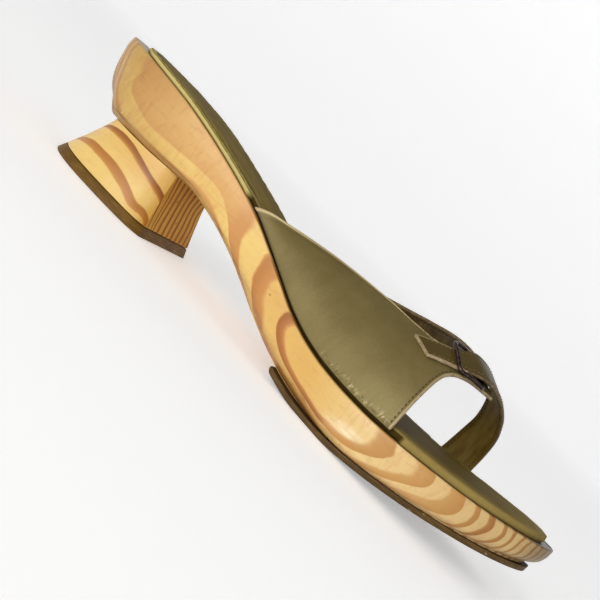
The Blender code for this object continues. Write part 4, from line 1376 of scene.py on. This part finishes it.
# %% A round section swept along it
corners = np.array([last(*p) for p in BUCKLE])
normal = np.cross(corners[2] - corners[0], corners[3] - corners[1])
normal /= np.linalg.norm(normal)
ahead = np.roll(path, -1, axis=0) - np.roll(path, 1, axis=0)
side = np.cross(normal, ahead)
side /= np.linalg.norm(side, axis=1)[:, None]
turns = np.arange(TURNS) * 2 * np.pi / TURNS
points = np.vstack([p + BAR / 2 * (np.outer(np.cos(turns), s) + np.outer(np.sin(turns), normal))
                    for p, s in zip(path, side)])
faces = tube_faces(len(path), TURNS)
k, tail = np.arange(TURNS), (len(path) - 1) * TURNS
faces += np.stack([tail + k, tail + (k + 1) % TURNS, (k + 1) % TURNS, k], -1).tolist()
make("wire_buckle", points, faces, wire_metal, 60, node=["buckle"])

# %% [markdown]
# ## Floor, light and camera
# The shoe stands in a wide shallow bowl of pale card, flat under it and curving up all round,
# so no edge shows from any side. The card glows a little, as backlit card does, and one large
# soft lamp stands low beside the viewer: the wall of the sole is bright and what faces up is
# darker. The camera is rolled, so the toe points down and right, and it looks almost level.

# %% Pale floor
BOWL, SIDES = 1.1, 96     # radius of the bowl's curve in metres, points round it
pale_card = Finish("pale floor", 0.8, Specular_IOR_Level=0.1, Emission_Strength=0.39)
pale_card.colour((0.88, 0.88, 0.88, 1.0))
pale_card.put(pale_card.shader.inputs["Emission Color"], (1.0, 1.0, 1.0, 1.0))
# radius and height of the bowl, from the middle outwards
bowl = [(0.02, 0.0), (0.8, 0.0), (1.8, 0.0), (2.6, 0.0)]
bowl += [(2.6 + BOWL * math.sin(a), BOWL - BOWL * math.cos(a)) for a in np.linspace(0.1, 1.5, 15)]
bowl += [(3.72, 1.4), (3.74, 1.8), (3.74, 2.2)]
turns = np.arange(SIDES) * 2 * np.pi / SIDES
points = [(r * math.cos(t), r * math.sin(t), h) for r, h in bowl for t in turns]
mesh = bpy.data.meshes.new("pale_floor")
mesh.from_pydata(points, [], tube_faces(len(bowl), SIDES) + [tuple(range(SIDES))[::-1]])
mesh.materials.append(pale_card.material)
mesh.shade_smooth()
floor = bpy.data.objects.new("pale_floor", mesh)
bpy.context.scene.collection.objects.link(floor)
floor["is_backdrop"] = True
print("floor", 2 * bowl[-1][0], "m across")


# %% A soft lamp, and the light of the room
def lamp(name, place, target, size, power, colour):
    light = bpy.data.lights.new(name, "AREA")
    light.shape, light.size, light.energy, light.color = "DISK", size, power, colour
    obj = bpy.data.objects.new(name, light)
    obj.location = place
    obj.rotation_euler = (Vector(target) - Vector(place)).to_track_quat("-Z", "Y").to_euler()
    bpy.context.scene.collection.objects.link(obj)
    print(name, "lamp,", power, "W,", size, "m wide")


lamp("key", (-0.25, -1.5, 0.45), (0, 0, 0.03), 0.8, 12.5, (1.0, 0.985, 0.955))

world = bpy.data.worlds.new("pale room")
world.use_nodes = True
world.node_tree.nodes["Background"].inputs["Color"].default_value = (1, 1, 1, 1)
world.node_tree.nodes["Background"].inputs["Strength"].default_value = 0.26
bpy.context.scene.world = world
bpy.context.scene.view_settings.view_transform = "Standard"

# %% The camera
FOCAL, SIDE, SENSOR = 1015.15, 600, 36.0     # focal length and picture in pixels, film in mm
EYE = (np.array([255.07, -448.13, 65.47]) - SHIFT) * MM
RIGHT, UP = Vector((0.68757, 0.17064, 0.70578)), Vector((-0.68345, -0.17620, 0.70842))
BACK = Vector((0.24524, -0.96945, -0.00453))
AIM, ZOOM = (205.0, 336.5), 1.24          # pixels of the shoe's middle, and how much closer
first_turn = Matrix((RIGHT, UP, BACK)).transposed()
camera = bpy.data.cameras.new("camera")
camera.sensor_width, camera.lens = SENSOR, FOCAL * ZOOM * SENSOR / SIDE
to_middle = Vector(((AIM[0] - SIDE / 2) / FOCAL, (SIDE / 2 - AIM[1]) / FOCAL, -1))
back = -(first_turn @ to_middle).normalized()
right = UP.cross(back).normalized()
turn = Matrix((right, back.cross(right), back)).transposed()
eye = bpy.data.objects.new("camera", camera)
eye.matrix_world = Matrix.Translation(Vector(EYE)) @ turn.to_4x4()
bpy.context.scene.collection.objects.link(eye)
bpy.context.scene.camera = eye
print("lens", round(camera.lens, 1), "mm")

# %% [markdown]
# ## Closing
# The box of the finished model, without the floor, is printed.

# %% Sizes, then the end
low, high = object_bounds()
print("visual box mm", [round(1000 * v, 1) for v in (*low, *high)])
